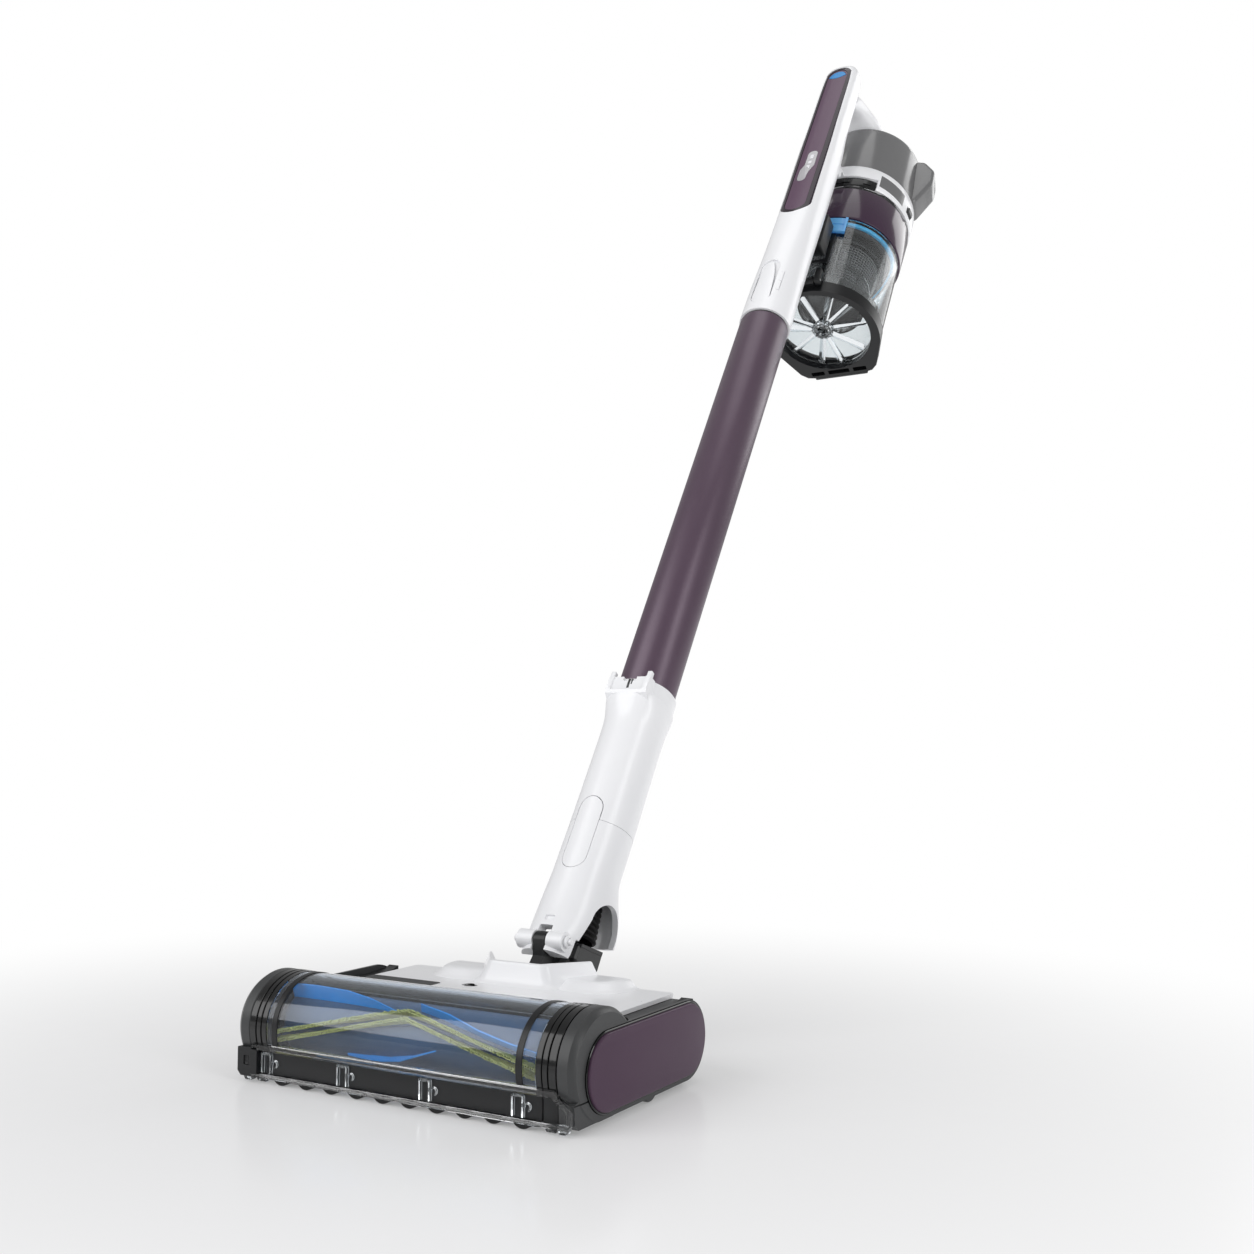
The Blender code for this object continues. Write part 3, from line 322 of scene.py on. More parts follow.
def clearFinish(name, colour, drift, rough, **shaderValues):
    # clear plastic that also lets the lamps light what is behind it
    finish = skinFinish(name, colour, drift, rough, 0.02, 0.01, 300, **shaderValues)
    tree = finish.node_tree
    shader, ray = tree.nodes["Principled BSDF"], addNode(tree, "ShaderNodeLightPath")
    through, either = addNode(tree, "ShaderNodeBsdfTransparent"), addNode(tree, "ShaderNodeMixShader")
    through.inputs["Color"].default_value = tone(*colour)
    tree.links.new(ray.outputs["Is Shadow Ray"], either.inputs["Fac"])
    tree.links.new(shader.outputs["BSDF"], either.inputs[1])
    tree.links.new(through.outputs["BSDF"], either.inputs[2])
    tree.links.new(either.outputs["Shader"], tree.nodes["Material Output"].inputs["Surface"])
    return finish


finishes = {
    "white": skinFinish("glossWhite", (238, 238, 240), (232, 233, 236), 0.30, 0.10, 0.04, 700,
                        Coat_Weight=0.25, Coat_Roughness=0.12),
    "tube": skinFinish("plumTubePaint", (88, 70, 86), (80, 62, 78), 0.36, 0.08, 0.10, 2200, Metallic=0.25,
                       Coat_Weight=0.15, Coat_Roughness=0.3),
    "collar": skinFinish("plumCollarGloss", (58, 35, 58), (50, 28, 50), 0.16, 0.05, 0.02, Coat_Weight=0.35,
                         Coat_Roughness=0.05, Specular_IOR_Level=0.4),
    "capPlum": skinFinish("plumCapSatin", (74, 50, 72), (66, 44, 64), 0.42, 0.08, 0.12, 1500,
                          Specular_IOR_Level=0.35),
    "panel": skinFinish("plumPanelGloss", (92, 68, 89), (84, 61, 81), 0.30, 0.06, 0.03, Coat_Weight=0.1,
                        Coat_Roughness=0.10, Specular_IOR_Level=0.3),
    "panelRim": skinFinish("panelRimGloss", (30, 10, 30), (24, 7, 24), 0.14, 0.05, 0.02, Coat_Weight=0.2,
                           Coat_Roughness=0.06, Specular_IOR_Level=0.35),
    "grey": skinFinish("greyCapGloss", (108, 108, 109), (98, 98, 99), 0.20, 0.08, 0.03, Coat_Weight=0.3,
                       Coat_Roughness=0.08),
    "darkGrey": skinFinish("darkGreySatin", (60, 61, 62), (52, 53, 54), 0.38, 0.10, 0.14, 1300,
                           Specular_IOR_Level=0.4),
    "elbow": skinFinish("elbowGrey", (44, 45, 46), (36, 37, 38), 0.34, 0.10, 0.10, 1300,
                        Specular_IOR_Level=0.4),
    "black": skinFinish("satinBlack", (20, 21, 23), (15, 16, 18), 0.34, 0.12, 0.10, 1300,
                        Specular_IOR_Level=0.35),
    "gloss": skinFinish("glossBlack", (12, 13, 14), (9, 10, 11), 0.16, 0.08, 0.02, Coat_Weight=0.35,
                        Coat_Roughness=0.05, Specular_IOR_Level=0.3),
    "rubber": skinFinish("hoseRubber", (14, 14, 15), (20, 20, 21), 0.55, 0.15, 0.25, 1600,
                         Specular_IOR_Level=0.3),
    "blue": skinFinish("blueButton", (30, 134, 200), (24, 124, 190), 0.30, 0.06, 0.04, Coat_Weight=0.1,
                       Specular_IOR_Level=0.35),
    "fin": skinFinish("blueFin", (6, 150, 226), (4, 138, 214), 0.40, 0.10, 0.15, 1200),
    "ring": skinFinish("blueRing", (60, 175, 225), (50, 165, 218), 0.25, 0.05, 0.03),
    "slate": skinFinish("slateDrum", (42, 74, 102), (34, 62, 88), 0.38, 0.12, 0.20, 1600),
    "steel": skinFinish("wornSteel", (176, 177, 178), (160, 161, 163), 0.30, 0.12, 0.12, 1800, Metallic=1.0),
    "can": skinFinish("motorCan", (120, 121, 123), (104, 105, 107), 0.36, 0.12, 0.12, 1400, Metallic=1.0),
    "foam": skinFinish("filterFoam", (78, 88, 96), (60, 70, 78), 0.95, 0.05, 0.9, 500),
    "clear": clearFinish("clearPlastic", (240, 243, 244), (234, 239, 241), 0.03, Transmission_Weight=1.0,
                         IOR=1.40, Specular_IOR_Level=0.35),
    "star": clearFinish("clearStar", (240, 243, 245), (230, 236, 240), 0.04, Transmission_Weight=1.0,
                        IOR=1.5),
    "rail": clearFinish("clearRail", (206, 206, 206), (196, 196, 197), 0.05, Transmission_Weight=1.0,
                        IOR=1.45, Specular_IOR_Level=0.4),
    "smoke": clearFinish("smokedWindow", (222, 230, 240), (214, 224, 236), 0.03, Transmission_Weight=1.0,
                         IOR=1.42, Specular_IOR_Level=0.4),
    "blueClear": clearFinish("clearBlue", (120, 196, 242), (104, 184, 238), 0.12, Transmission_Weight=0.25,
                             IOR=1.45),
    "lens": skinFinish("displayLens", (178, 176, 180), (150, 149, 153), 0.14, 0.06, 0.03, 300, 90.0,
                       Coat_Weight=0.6),
    "glow": skinFinish("displayMark", (232, 232, 236), (214, 214, 220), 0.35, 0.05, 0.02),
}


def buildBristleFinish():
    # yellow-green bristles with a fine drift towards a duller green
    finish = skinFinish("bristleStrip", (206, 200, 112), (164, 166, 86), 0.75, 0.15, 0.6, 2600, 260.0)
    return finish


finishes["bristle"] = buildBristleFinish()
print("materials made")


# Camera, floor and lamps. The floor fades to white with distance.

def buildStage():
    settings = dict(spot=(0.5571, -0.6625, 0.2302), turn=30.546, tilt=4.067, lens=39.81, half=30.0,
                    near=0.25, air=0.40)
    view = bpy.data.cameras.new("viewCamera")
    view.lens, view.sensor_width, view.clip_start = settings["lens"], 36.0, 0.01
    camera = bpy.data.objects.new("viewCamera", view)
    camera.location = headPlace @ Vector(settings["spot"])
    camera.rotation_euler = (radians(90 + settings["tilt"]), 0, radians(settings["turn"]))
    bpy.context.scene.collection.objects.link(camera)
    bpy.context.scene.camera = camera

    # the floor is lit near the object and fades to plain white further off
    half = settings["half"]
    floor = block((-half, -half, -0.02), (half, half, 0.0))
    mesh = bpy.data.meshes.new("studioFloor")
    floor.to_mesh(mesh)
    floor.free()
    ground = bpy.data.objects.new("studioFloor", mesh)
    paper = skinFinish("paleFloor", (246, 246, 247), (244, 244, 246), 0.20, 0.06, 0.0, 40, 2.0)
    tree = paper.node_tree
    shader = tree.nodes["Principled BSDF"]
    where, far = addNode(tree, "ShaderNodeTexCoord"), addNode(tree, "ShaderNodeVectorMath",
                                                              operation="LENGTH")
    fade = addNode(tree, "ShaderNodeMapRange", interpolation_type="SMOOTHSTEP")
    for label, value in (("From Min", 0.14), ("From Max", 0.80), ("To Min", settings["near"]),
                         ("To Max", 1.0)):
        fade.inputs[label].default_value = value
    tree.links.new(where.outputs["Object"], far.inputs[0])
    tree.links.new(far.outputs["Value"], fade.inputs["Value"])
    white, lit = addNode(tree, "ShaderNodeEmission"), addNode(tree, "ShaderNodeMixShader")
    white.inputs["Color"].default_value = (1, 1, 1, 1)
    tree.links.new(fade.outputs["Result"], lit.inputs["Fac"])
    tree.links.new(shader.outputs["BSDF"], lit.inputs[1])
    tree.links.new(white.outputs["Emission"], lit.inputs[2])
    tree.links.new(lit.outputs["Shader"], tree.nodes["Material Output"].inputs["Surface"])
    mesh.materials.append(paper)
    ground.location = headPlace @ Vector((0, 0.06, 0))
    bpy.context.scene.collection.objects.link(ground)

    # the air looks white, and gives a softer light than it looks
    world = bpy.data.worlds.new("studioAir")
    world.use_nodes = True
    tree = world.node_tree
    glow = tree.nodes["Background"]
    glow.inputs["Color"].default_value = (1, 1, 1, 1)
    ray = addNode(tree, "ShaderNodeLightPath")
    seen, amount = addNode(tree, "ShaderNodeMath", operation="MAXIMUM"), addNode(tree, "ShaderNodeMapRange")
    tree.links.new(ray.outputs["Is Camera Ray"], seen.inputs[0])
    tree.links.new(ray.outputs["Is Transmission Ray"], seen.inputs[1])
    tree.links.new(seen.outputs[0], amount.inputs["Value"])
    amount.inputs["To Min"].default_value, amount.inputs["To Max"].default_value = settings["air"], 1.0
    tree.links.new(amount.outputs["Result"], glow.inputs["Strength"])
    bpy.context.scene.world = world
    bpy.context.scene.view_settings.view_transform = "Standard"
    target = Vector((0, 0, 0.42))
    for label, spot, size, power in (("keyLight", (-1.1, -2.1, 1.5), (2.0, 2.2), 36),
                                     ("fillLight", (2.1, -0.8, 1.0), (0.7, 2.2), 17),
                                     ("topLight", (0.1, 0.1, 2.6), (1.6, 1.0), 6),
                                     ("backLight", (0.7, 2.2, 1.5), (1.4, 1.2), 9)):
        lamp = bpy.data.lights.new(label, "AREA")
        lamp.shape, lamp.size, lamp.size_y, lamp.energy = "RECTANGLE", size[0], size[1], power
        thing = bpy.data.objects.new(label, lamp)
        thing.location = spot
        thing.rotation_euler = (target - Vector(spot)).to_track_quat("-Z", "Y").to_euler()
        bpy.context.scene.collection.objects.link(thing)


buildStage()
print("stage set")

# Hand vacuum. Its heights run up the axis of the wand.

spineRows = finer(((0.6570, 0.0250, -0.0250, 0.0250, 2.0), (0.7000, 0.0247, -0.0243, 0.0247, 2.0),
                   (0.7600, 0.0232, -0.0210, 0.0240, 2.2), (0.8200, 0.0220, -0.0180, 0.0230, 2.8),
                   (0.9200, 0.0212, -0.0170, 0.0215, 3.3), (0.9650, 0.0200, -0.0166, 0.0170, 3.4),
                   (1.0350, 0.0196, -0.0160, 0.0145, 3.4), (1.0560, 0.0184, -0.0152, 0.0130, 3.2),
                   (1.0640, 0.0156, -0.0128, 0.0105, 2.8), (1.0680, 0.0098, -0.0080, 0.0060, 2.4)), 5)
cupY = 0.1080
cupAxis = (0, cupY, 0)
panel = dict(half=0.0172, low=0.8080, high=1.0590, back=-0.0132, border=0.0046, face=0.0114)
release = dict(half=0.0100, low=0.6670, high=0.7290, floor=-0.0205)
bay = dict(half=0.0135, front=-0.0045, rear=0.0095, low=0.9400)


def grownStadium(half, low, high, by):
    return stadium(half + by, low - by, high + by, 24)


def powerOutline(by=0.0):
    # a lens: its top follows the panel's round end, its lower edge sags gently
    top = arc((0, 1.0418), 0.0098 + by, 12, 168, 18)
    return top + arc((0, 1.0560), 0.0157 + by, 228, 312, 14)


def displayOutline(by=0.0):
    # a long upper lobe and a small lower one, joined on a slant
    return (arc((0.0022, 0.9030), 0.0056 + by, 15, 165, 12) + [(-0.0034 - by, 0.8860), (-0.0072 - by, 0.8790)]
            + arc((-0.0024, 0.8652), 0.0050 + by, 180, 330, 12)
            + [(0.0034 + by, 0.8740), (0.0078 + by, 0.8840)])


def buildSpine():
    shell = loft(spineRows)
    cuts = [slab(grownStadium(panel["half"], panel["low"], panel["high"], 0.0002), -0.04,
                 panel["back"] + gap, "Y"),
            slab(grownStadium(release["half"], release["low"], release["high"], 0.0004), -0.04,
                 release["floor"], "Y"),
            rod(0.0195, 0.64, 0.7150), block((-bay["half"], bay["front"], bay["low"]),
                                             (bay["half"], bay["rear"], 1.10)),
            block((-0.0062, 0.0040, 1.0530), (0.0062, 0.03, 1.10)),
            block((-0.0100, 0.0, 0.8100), (0.0100, 0.04, 0.8500))]
    # the shallow bracket line beside the wand's release button
    mark = dict(x=0.0158, low=0.6850, high=0.7130, line=0.0006)
    cuts += [block((mark["x"] - mark["line"], -0.04, mark["low"]), (mark["x"], -0.0176, mark["high"]))]
    cuts += [block((0.0132, -0.04, z), (mark["x"], -0.0192, z + mark["line"]))
             for z in (mark["low"], 0.6985, mark["high"] - mark["line"])]
    makePiece("spineShell", worked(shell, *cuts), stickPlace, finishes["white"], "hand_vac",
              ["spine_shell"], 0.0005, 2)
    button = worked(loft(spineRows, 0.0003), slab(stadium(release["half"], release["low"], release["high"],
                                                          24), -0.04, -0.0226, "Y"),
                    how="INTERSECT")
    makePiece("wandReleaseButton", button, stickPlace, finishes["white"], "wand_release",
              ["wand_release_button"], 0.0006)


def buildPanel():
    low, high, half = panel["low"], panel["high"], panel["half"]
    inner = (panel["face"], low + panel["border"], high - panel["border"])
    rim = worked(loft(spineRows, 0.0004), slab(stadium(half, low, high, 24), -0.04, panel["back"], "Y"),
                 how="INTERSECT")
    rim = worked(rim, slab(grownStadium(*inner, 0.0004), -0.04, -0.0140, "Y"),
                 slab(powerOutline(0.0013), -0.04, 0.0, "Y"))
    makePiece("panelRim", rim, stickPlace, finishes["panelRim"], "hand_vac", ["front_panel"],
              0.0009, 4)
    face = worked(loft(spineRows, 0.0008), slab(stadium(*inner, 24), -0.04, -0.0141, "Y"), how="INTERSECT")
    face = worked(face, slab(powerOutline(0.0004), -0.04, 0.0, "Y"),
                  slab(displayOutline(0.0003), -0.04, 0.0, "Y"))
    makePiece("panelFace", face, stickPlace, finishes["panel"], "hand_vac", (), 0.0008, 4)
    power = worked(loft(spineRows, 0.0006), slab(powerOutline(), -0.04, -0.0143, "Y"), how="INTERSECT")
    makePiece("powerButton", power, stickPlace, finishes["blue"], "power_button", ["power_button"],
              0.0007, 4)
    lens = worked(loft(spineRows, 0.0007), slab(displayOutline(), -0.04, -0.0151, "Y"), how="INTERSECT")
    makePiece("displayLens", lens, stickPlace, finishes["lens"], "hand_vac", ["display_lens"], 0.0005)
    # plain level marks behind the lens
    marks = [slab(roundedBox((x - 0.0019, z), (x + 0.0019, z + h), 0.0008, 4), -0.01655, -0.0160, "Y")
             for x, z, h in ((-0.0022, 0.8640, 0.0034), (0.0010, 0.8790, 0.0060), (0.0018, 0.8880, 0.0040),
                             (0.0022, 0.8960, 0.0062))]
    makePiece("displayMarks", merged(*marks), stickPlace, finishes["glow"], "hand_vac")


def buildMotorUnit():
    ring = dict(low=0.9300, high=0.9620, radius=0.0635)
    hoop = turned([(0.0200, 0.9460), (0.0575, 0.9460), (0.0575, ring["low"]), (0.0622, ring["low"]),
                   (0.0635, 0.9325),
                   (ring["radius"], 0.9598), (0.0624, ring["high"]), (0.0575, ring["high"]),
                   (0.0575, 0.9500), (0.0200, 0.9500)],
                  cupAxis, steps=112)
    webs = [block((-0.0080, 0.0212, 0.9330), (0.0080, 0.0500, 0.9470), 0.0015)]
    hoop = worked(hoop, *webs, how="UNION")
    hoop = worked(hoop, block((0.0560, cupY - 0.0066, 0.9360), (0.07, cupY + 0.0066, 0.9460)))
    # in front the ring is shallower, with a black band under it
    step = partTurned([(0.0600, 0.9290), (0.0700, 0.9290), (0.0700, 0.9435), (0.0600, 0.9435)], cupAxis,
                      "Z", -160, -48, 40)
    for v in step.verts:
        v.co.z += 0.30 * max(0.0, v.co.x - 0.0360) * (v.co.z > 0.94)
    hoop = worked(hoop, step)
    band = partTurned([(0.0598, 0.9300), (0.0610, 0.9304), (0.0616, 0.9320), (0.0616, 0.9430),
                       (0.0598, 0.9434)], cupAxis, "Z", -159, -48.5, 48)
    catches = [partTurned([(0.0612, 0.9345), (0.0626, 0.9345), (0.0626, 0.9410), (0.0612, 0.9410)], cupAxis,
                          "Z", a, a + 8, 6) for a in (-84, -62)]
    makePiece("ringBand", merged(band, *catches), stickPlace, finishes["gloss"], "hand_vac", (),
              0.0003, 2)
    makePiece("motorHousing", hoop, stickPlace, finishes["white"], "hand_vac", ["motor_housing"],
              0.0006)
    # slanted grey patch laid on the ring's front right
    inset = partTurned([(0.0620, 0.9355), (0.0637, 0.9355), (0.0637, 0.9535), (0.0620, 0.9535)], cupAxis,
                       "Z", -46, -14, 14)
    for v in inset.verts:
        v.co.z -= 0.12 * (v.co.x - 0.055)
    makePiece("ringGreyPatch", inset, stickPlace, finishes["grey"], "hand_vac", (), 0.0004, 2)
    tab = slab(roundedBox((cupY - 0.0060, 0.9366), (cupY + 0.0060, 0.9454), 0.0030), 0.0606, 0.0658, "X")
    makePiece("cupReleaseButton", tab, stickPlace, finishes["darkGrey"], "cup_release",
              ["cup_release_button"], 0.0018, 5)

    cap = turned([(0.0622, 0.9623), (0.0622, 0.9700), (0.0606, 0.9950), (0.0580, 1.0310), (0.0570, 1.0356),
                  (0.0545, 1.0390),
                  (0.0500, 1.0404), (0.0300, 1.0408), (0, 1.0408), (0, 1.0325), (0.0500, 1.0322),
                  (0.0540, 1.0260), (0.0597, 0.9700), (0.0597, 0.9623)],
                 cupAxis, steps=112)
    bumps = []
    for side in (-1, 1):
        outline = [(side * x, z) for x, z in ((0.0500, 0.9630), (0.0640, 0.9630), (0.0790, 1.0000),
                                              (0.0782, 1.0180),
                                              (0.0650, 1.0340), (0.0500, 1.0356))]
        bump = slab(outline, cupY - 0.0148, cupY + 0.0148, "Y")
        bmesh.ops.bevel(bump, geom=bump.edges[:], offset=0.0042, affect="EDGES", segments=5, profile=0.5,
                        material=-1, offset_type="OFFSET")
        bmesh.ops.rotate(bump, verts=bump.verts, cent=cupAxis,
                         matrix=Matrix.Rotation(radians(side * 14), 3, "Z"))
        bumps.append(bump)
    cap = worked(cap, *bumps, how="UNION")
    hollow = turned([(0, 0.955), (0.0597, 0.955), (0.0597, 0.9700), (0.0540, 1.0260), (0.0500, 1.0322),
                     (0, 1.0325)], cupAxis, steps=112)
    vents = []
    for i in range(15):
        vent = block((0.0480, -0.0011, 0.9800), (0.0680, 0.0011, 1.0130), 0.0009, 2)
        bmesh.ops.rotate(vent, verts=vent.verts, matrix=Matrix.Rotation(radians(48 + 6 * i), 3, "Z"))
        bmesh.ops.translate(vent, verts=vent.verts, vec=cupAxis)
        vents.append(vent)
    makePiece("motorCap", worked(cap, hollow, *vents), stickPlace, finishes["grey"], "hand_vac",
              ["motor_cap"], 0.0007, 3, 40)

    rows = finer(((0.0150, 0.0150, 1.0180, 1.0480), (0.0200, 0.0160, 1.0240, 1.0520),
                  (0.0380, 0.0185, 1.0345, 1.0572),
                  (0.0620, 0.0245, 1.0354, 1.0585), (0.0900, 0.0275, 1.0354, 1.0560),
                  (0.1180, 0.0230, 1.0354, 1.0490),
                  (0.1310, 0.0140, 1.0354, 1.0400)), 5)
    strut = loft([(y, x, low, high, 3.0) for y, x, low, high in rows])
    bmesh.ops.transform(strut, matrix=Matrix(((1, 0, 0, 0), (0, 0, 1, 0), (0, 1, 0, 0), (0, 0, 0, 1))),
                        verts=strut.verts)
    bmesh.ops.recalc_face_normals(strut, faces=strut.faces)
    strut = worked(strut, loft(spineRows, -0.0003))
    makePiece("handleStrut", strut, stickPlace, finishes["white"], "hand_vac", ["handle_strut"],
              0.0010, 3, 45)


def buildBatteryLatch():
    latch = slab(roundedBox((-0.0057, 1.0533), (0.0057, 1.0592), 0.0020), 0.0070, 0.0137, "Y")
    grips = [block((-0.0070, 0.0126, z), (0.0070, 0.0140, z + 0.0006)) for z in (1.0550, 1.0564, 1.0578)]
    makePiece("batteryLatch", worked(latch, *grips), stickPlace, finishes["darkGrey"], "battery_latch",
              ["battery_latch"], 0.0004, 2)
    pack = worked(loft(spineRows, 0.0002), block((-bay["half"] + gap, bay["front"] + gap, 0.9410),
                                                 (bay["half"] - gap, bay["rear"] - gap, 1.10)),
                  how="INTERSECT")
    pack = worked(pack, block((-0.0060, 0.0050, 1.0530), (0.0060, 0.03, 1.0595)))
    makePiece("batteryPack", pack, stickPlace, finishes["white"], "battery", ["battery_pack"],
              0.0008)


buildSpine()
buildPanel()
buildMotorUnit()
buildBatteryLatch()
print("hand unit built")


# Dust cup and its door, round an axis of their own beside the wand.

def wallPatch(inner, outer, low, high, start, end, steps=16):
    return partTurned([(inner, low), (outer, low), (outer, high), (inner, high)], cupAxis, "Z", start, end,
                      steps)


def buildDustCup():
    cup = dict(radius=0.0600, wall=0.0022, low=0.7750, high=0.8760)
    shell = turned([(cup["radius"] - cup["wall"], cup["low"]), (cup["radius"] - 0.0002, cup["low"]),
                    (cup["radius"], 0.7764),
                    (cup["radius"], cup["high"]), (cup["radius"] - cup["wall"], cup["high"])], cupAxis,
                   steps=112)
    makePiece("cupShell", shell, stickPlace, finishes["clear"], "dust_cup", ["cup_shell"], 0.0004, 2)
    # the air inlet and its black side ribs, between the wall and the spine
    inlet = block((-0.0160, 0.0252, 0.8060), (0.0160, 0.0520, 0.8540), 0.0016)
    inlet = worked(inlet, block((-0.0125, 0.02, 0.8100), (0.0125, 0.07, 0.8500), 0.001),
                   rod(0.0574, 0.79, 0.87, cupAxis, steps=96),
                   wallPatch(0.0601, 0.0680, 0.7900, 0.8700, -97, -63, 16))  # leaves the ejector tab its path
    makePiece("inletDuct", inlet, stickPlace, finishes["black"], "dust_cup")
    ribs = [wallPatch(0.0560, 0.0574, 0.7800, 0.8660, a, a + 2.2, 3) for a in (-112, -101, -79, -68)]
    ribs += [wallPatch(0.0560, 0.0574, 0.7764, 0.7860, 0, 360, 96)]
    makePiece("cupRibs", merged(*ribs), stickPlace, finishes["gloss"], "dust_cup")
    lugs = []
    for side in (-1, 1):
        near, far = sorted((side * 0.0125, side * 0.0190))
        lugs.append(worked(block((near, 0.0385, 0.7655), (far, 0.0470, 0.7830), 0.0012),
                           rod(0.0018, -0.03, 0.03, (0, 0.0425, 0.7690), "X", 32)))
    makePiece("hingeLugs", merged(*lugs), stickPlace, finishes["black"], "dust_cup")

    collar = turned([(0.0585, 0.8763), (0.0618, 0.8763), (0.0622, 0.8785), (0.0628, 0.9225),
                     (0.0622, 0.9240), (0.0585, 0.9240)],
                    cupAxis, steps=112)
    makePiece("cupCollar", collar, stickPlace, finishes["collar"], "dust_cup", ["cup_collar"], 0.0005)
    rim = turned([(0.0480, 0.9250), (0.0500, 0.9250), (0.0500, 0.9090), (0.0580, 0.9090), (0.0580, 0.9243),
                  (0.0606, 0.9243),
                  (0.0614, 0.9262), (0.0610, 0.9292), (0.0480, 0.9292)], cupAxis, steps=144)
    for v in rim.verts:
        turn = atan2(v.co.y - cupY, v.co.x)
        if hypot(v.co.x, v.co.y - cupY) > 0.0604 and v.co.z > 0.9255:
            wave = max(-1, min(1, 2.5 * sin(9 * turn)))
            v.co.xy = Vector((0, cupY)) + (v.co.xy - Vector((0, cupY))) * (1 + 0.018 * wave)
    makePiece("filterFrame", rim, stickPlace, finishes["gloss"], "dust_cup", ["filter_frame"],
              0.0004, 2)

    core = turned([(0, 0.8040), (0.0250, 0.8040), (0.0330, 0.8060), (0.0372, 0.8290), (0.0405, 0.8520),
                   (0.0405, 0.8980), (0, 0.8980)],
                  cupAxis, steps=80)
    makePiece("cycloneCore", core, stickPlace, finishes["gloss"], "dust_cup", ["cyclone_core"],
              0.0008)
    skirt = turned([(0.0412, 0.8600), (0.0470, 0.8560), (0.0474, 0.8572), (0.0450, 0.8640),
                    (0.0450, 0.8700), (0.0412, 0.8700)], cupAxis, steps=96)
    seams = [turned([(r - 0.0006, z), (r + 0.0009, z), (r + 0.0009, z + h), (r - 0.0006, z + h)], cupAxis,
                    steps=96)
             for r, z, h in ((0.0425, 0.8545, 0.0022), (0.0388, 0.8270, 0.0026), (0.0350, 0.8008, 0.0022))]
    makePiece("shroudBands", merged(skirt, *seams), stickPlace, finishes["gloss"], "dust_cup",
              (), 0.0004, 2)

    def stretchNet(name, low, lowRadius, high, highRadius, around, up, slant):
        net = bmesh.new()
        edges = [e for v in bmesh.ops.create_circle(net, segments=around, radius=1.0)["verts"]
                 for e in v.link_edges]
        edges = list(set(edges))
        for i in range(up):
            grown = bmesh.ops.extrude_edge_only(net, edges=edges)["geom"]
            edges = [e for e in grown
                     if isinstance(e, bmesh.types.BMEdge) and all(v in grown for v in e.verts)]
            bmesh.ops.translate(net, verts=[v for v in grown if isinstance(v, bmesh.types.BMVert)],
                                vec=(0, 0, 1))
        for v in net.verts:
            share = v.co.z / up
            radius = lowRadius + (highRadius - lowRadius) * share
            turn = atan2(v.co.y, v.co.x) + (pi / around if slant and int(v.co.z + 0.5) % 2 else 0)
            v.co = (radius * cos(turn), cupY + radius * sin(turn), low + (high - low) * share)
        if slant:
            bmesh.ops.triangulate(net, faces=net.faces)
        piece = makePiece(name, net, stickPlace, finishes["grey"], "dust_cup",
                          () if slant else ["shroud"])
        wires = piece.modifiers.new("wires", "WIREFRAME")
        wires.thickness, wires.use_even_offset = 0.0011, False

    stretchNet("shroudSquareNet", 0.8296, 0.0390, 0.8545, 0.0428, 76, 8, False)
    stretchNet("shroudSlantNet", 0.8030, 0.0352, 0.8270, 0.0386, 72, 7, True)
    posts = [wallPatch(0.0345, 0.0362, 0.8025, 0.8275, a, a + 3.5, 4) for a in range(-150, 210, 60)]
    for post in posts:
        for v in post.verts:
            lift = 1 + 0.10 * (v.co.z - 0.8025) / 0.025
            v.co.xy = Vector((0, cupY)) + (v.co.xy - Vector((0, cupY))) * lift
    makePiece("shroudPosts", merged(*posts), stickPlace, finishes["gloss"], "dust_cup")

    ring = turned([(0.0526, 0.8712), (0.0550, 0.8712), (0.0556, 0.8716), (0.0556, 0.8752), (0.0550, 0.8756),
                   (0.0526, 0.8756)], cupAxis, steps=112)
    makePiece("ejectorRing", ring, stickPlace, finishes["ring"], "ejector", ["dirt_ejector"],
              0.0003, 2)
    scraper = turned([(0.0480, 0.8690), (0.0500, 0.8684), (0.0525, 0.8700), (0.0525, 0.8750),
                      (0.0480, 0.8750)], cupAxis, steps=112)
    makePiece("ejectorScraper", scraper, stickPlace, finishes["gloss"], "ejector", (), 0.0004, 2)
    tabs = [wallPatch(0.0603, 0.0624, 0.8512, 0.8742, -94, -66, 16),
            wallPatch(0.0603, 0.0644, 0.8512, 0.8530, -94, -66, 16),
            wallPatch(0.0603, 0.0640, 0.8512, 0.8742, -68.5, -66, 3),
            wallPatch(0.0603, 0.0640, 0.8512, 0.8742, -94, -91.5, 3),
            wallPatch(0.0603, 0.0632, 0.8640, 0.8655, -94, -66, 16)]
    makePiece("ejectorTab", merged(*tabs), stickPlace, finishes["blueClear"], "ejector", (),
              0.0003, 2)


def doorOutline(radius, rear, half):
    # round in front, straight at the rear with two softened corners
    return arc((0, cupY), radius, 160, 380, 72) + [(half + 0.0140, cupY + rear - 0.0150),
                                                   (half + 0.0105, cupY + rear - 0.0075),
                                                  (half + 0.0040, cupY + rear - 0.0015),
                                                   (half - 0.0040, cupY + rear),
                                                  (-half + 0.0040, cupY + rear),
                                                   (-half - 0.0040, cupY + rear - 0.0015),
                                                  (-half - 0.0105, cupY + rear - 0.0075),
                                                   (-half - 0.0140, cupY + rear - 0.0150)]


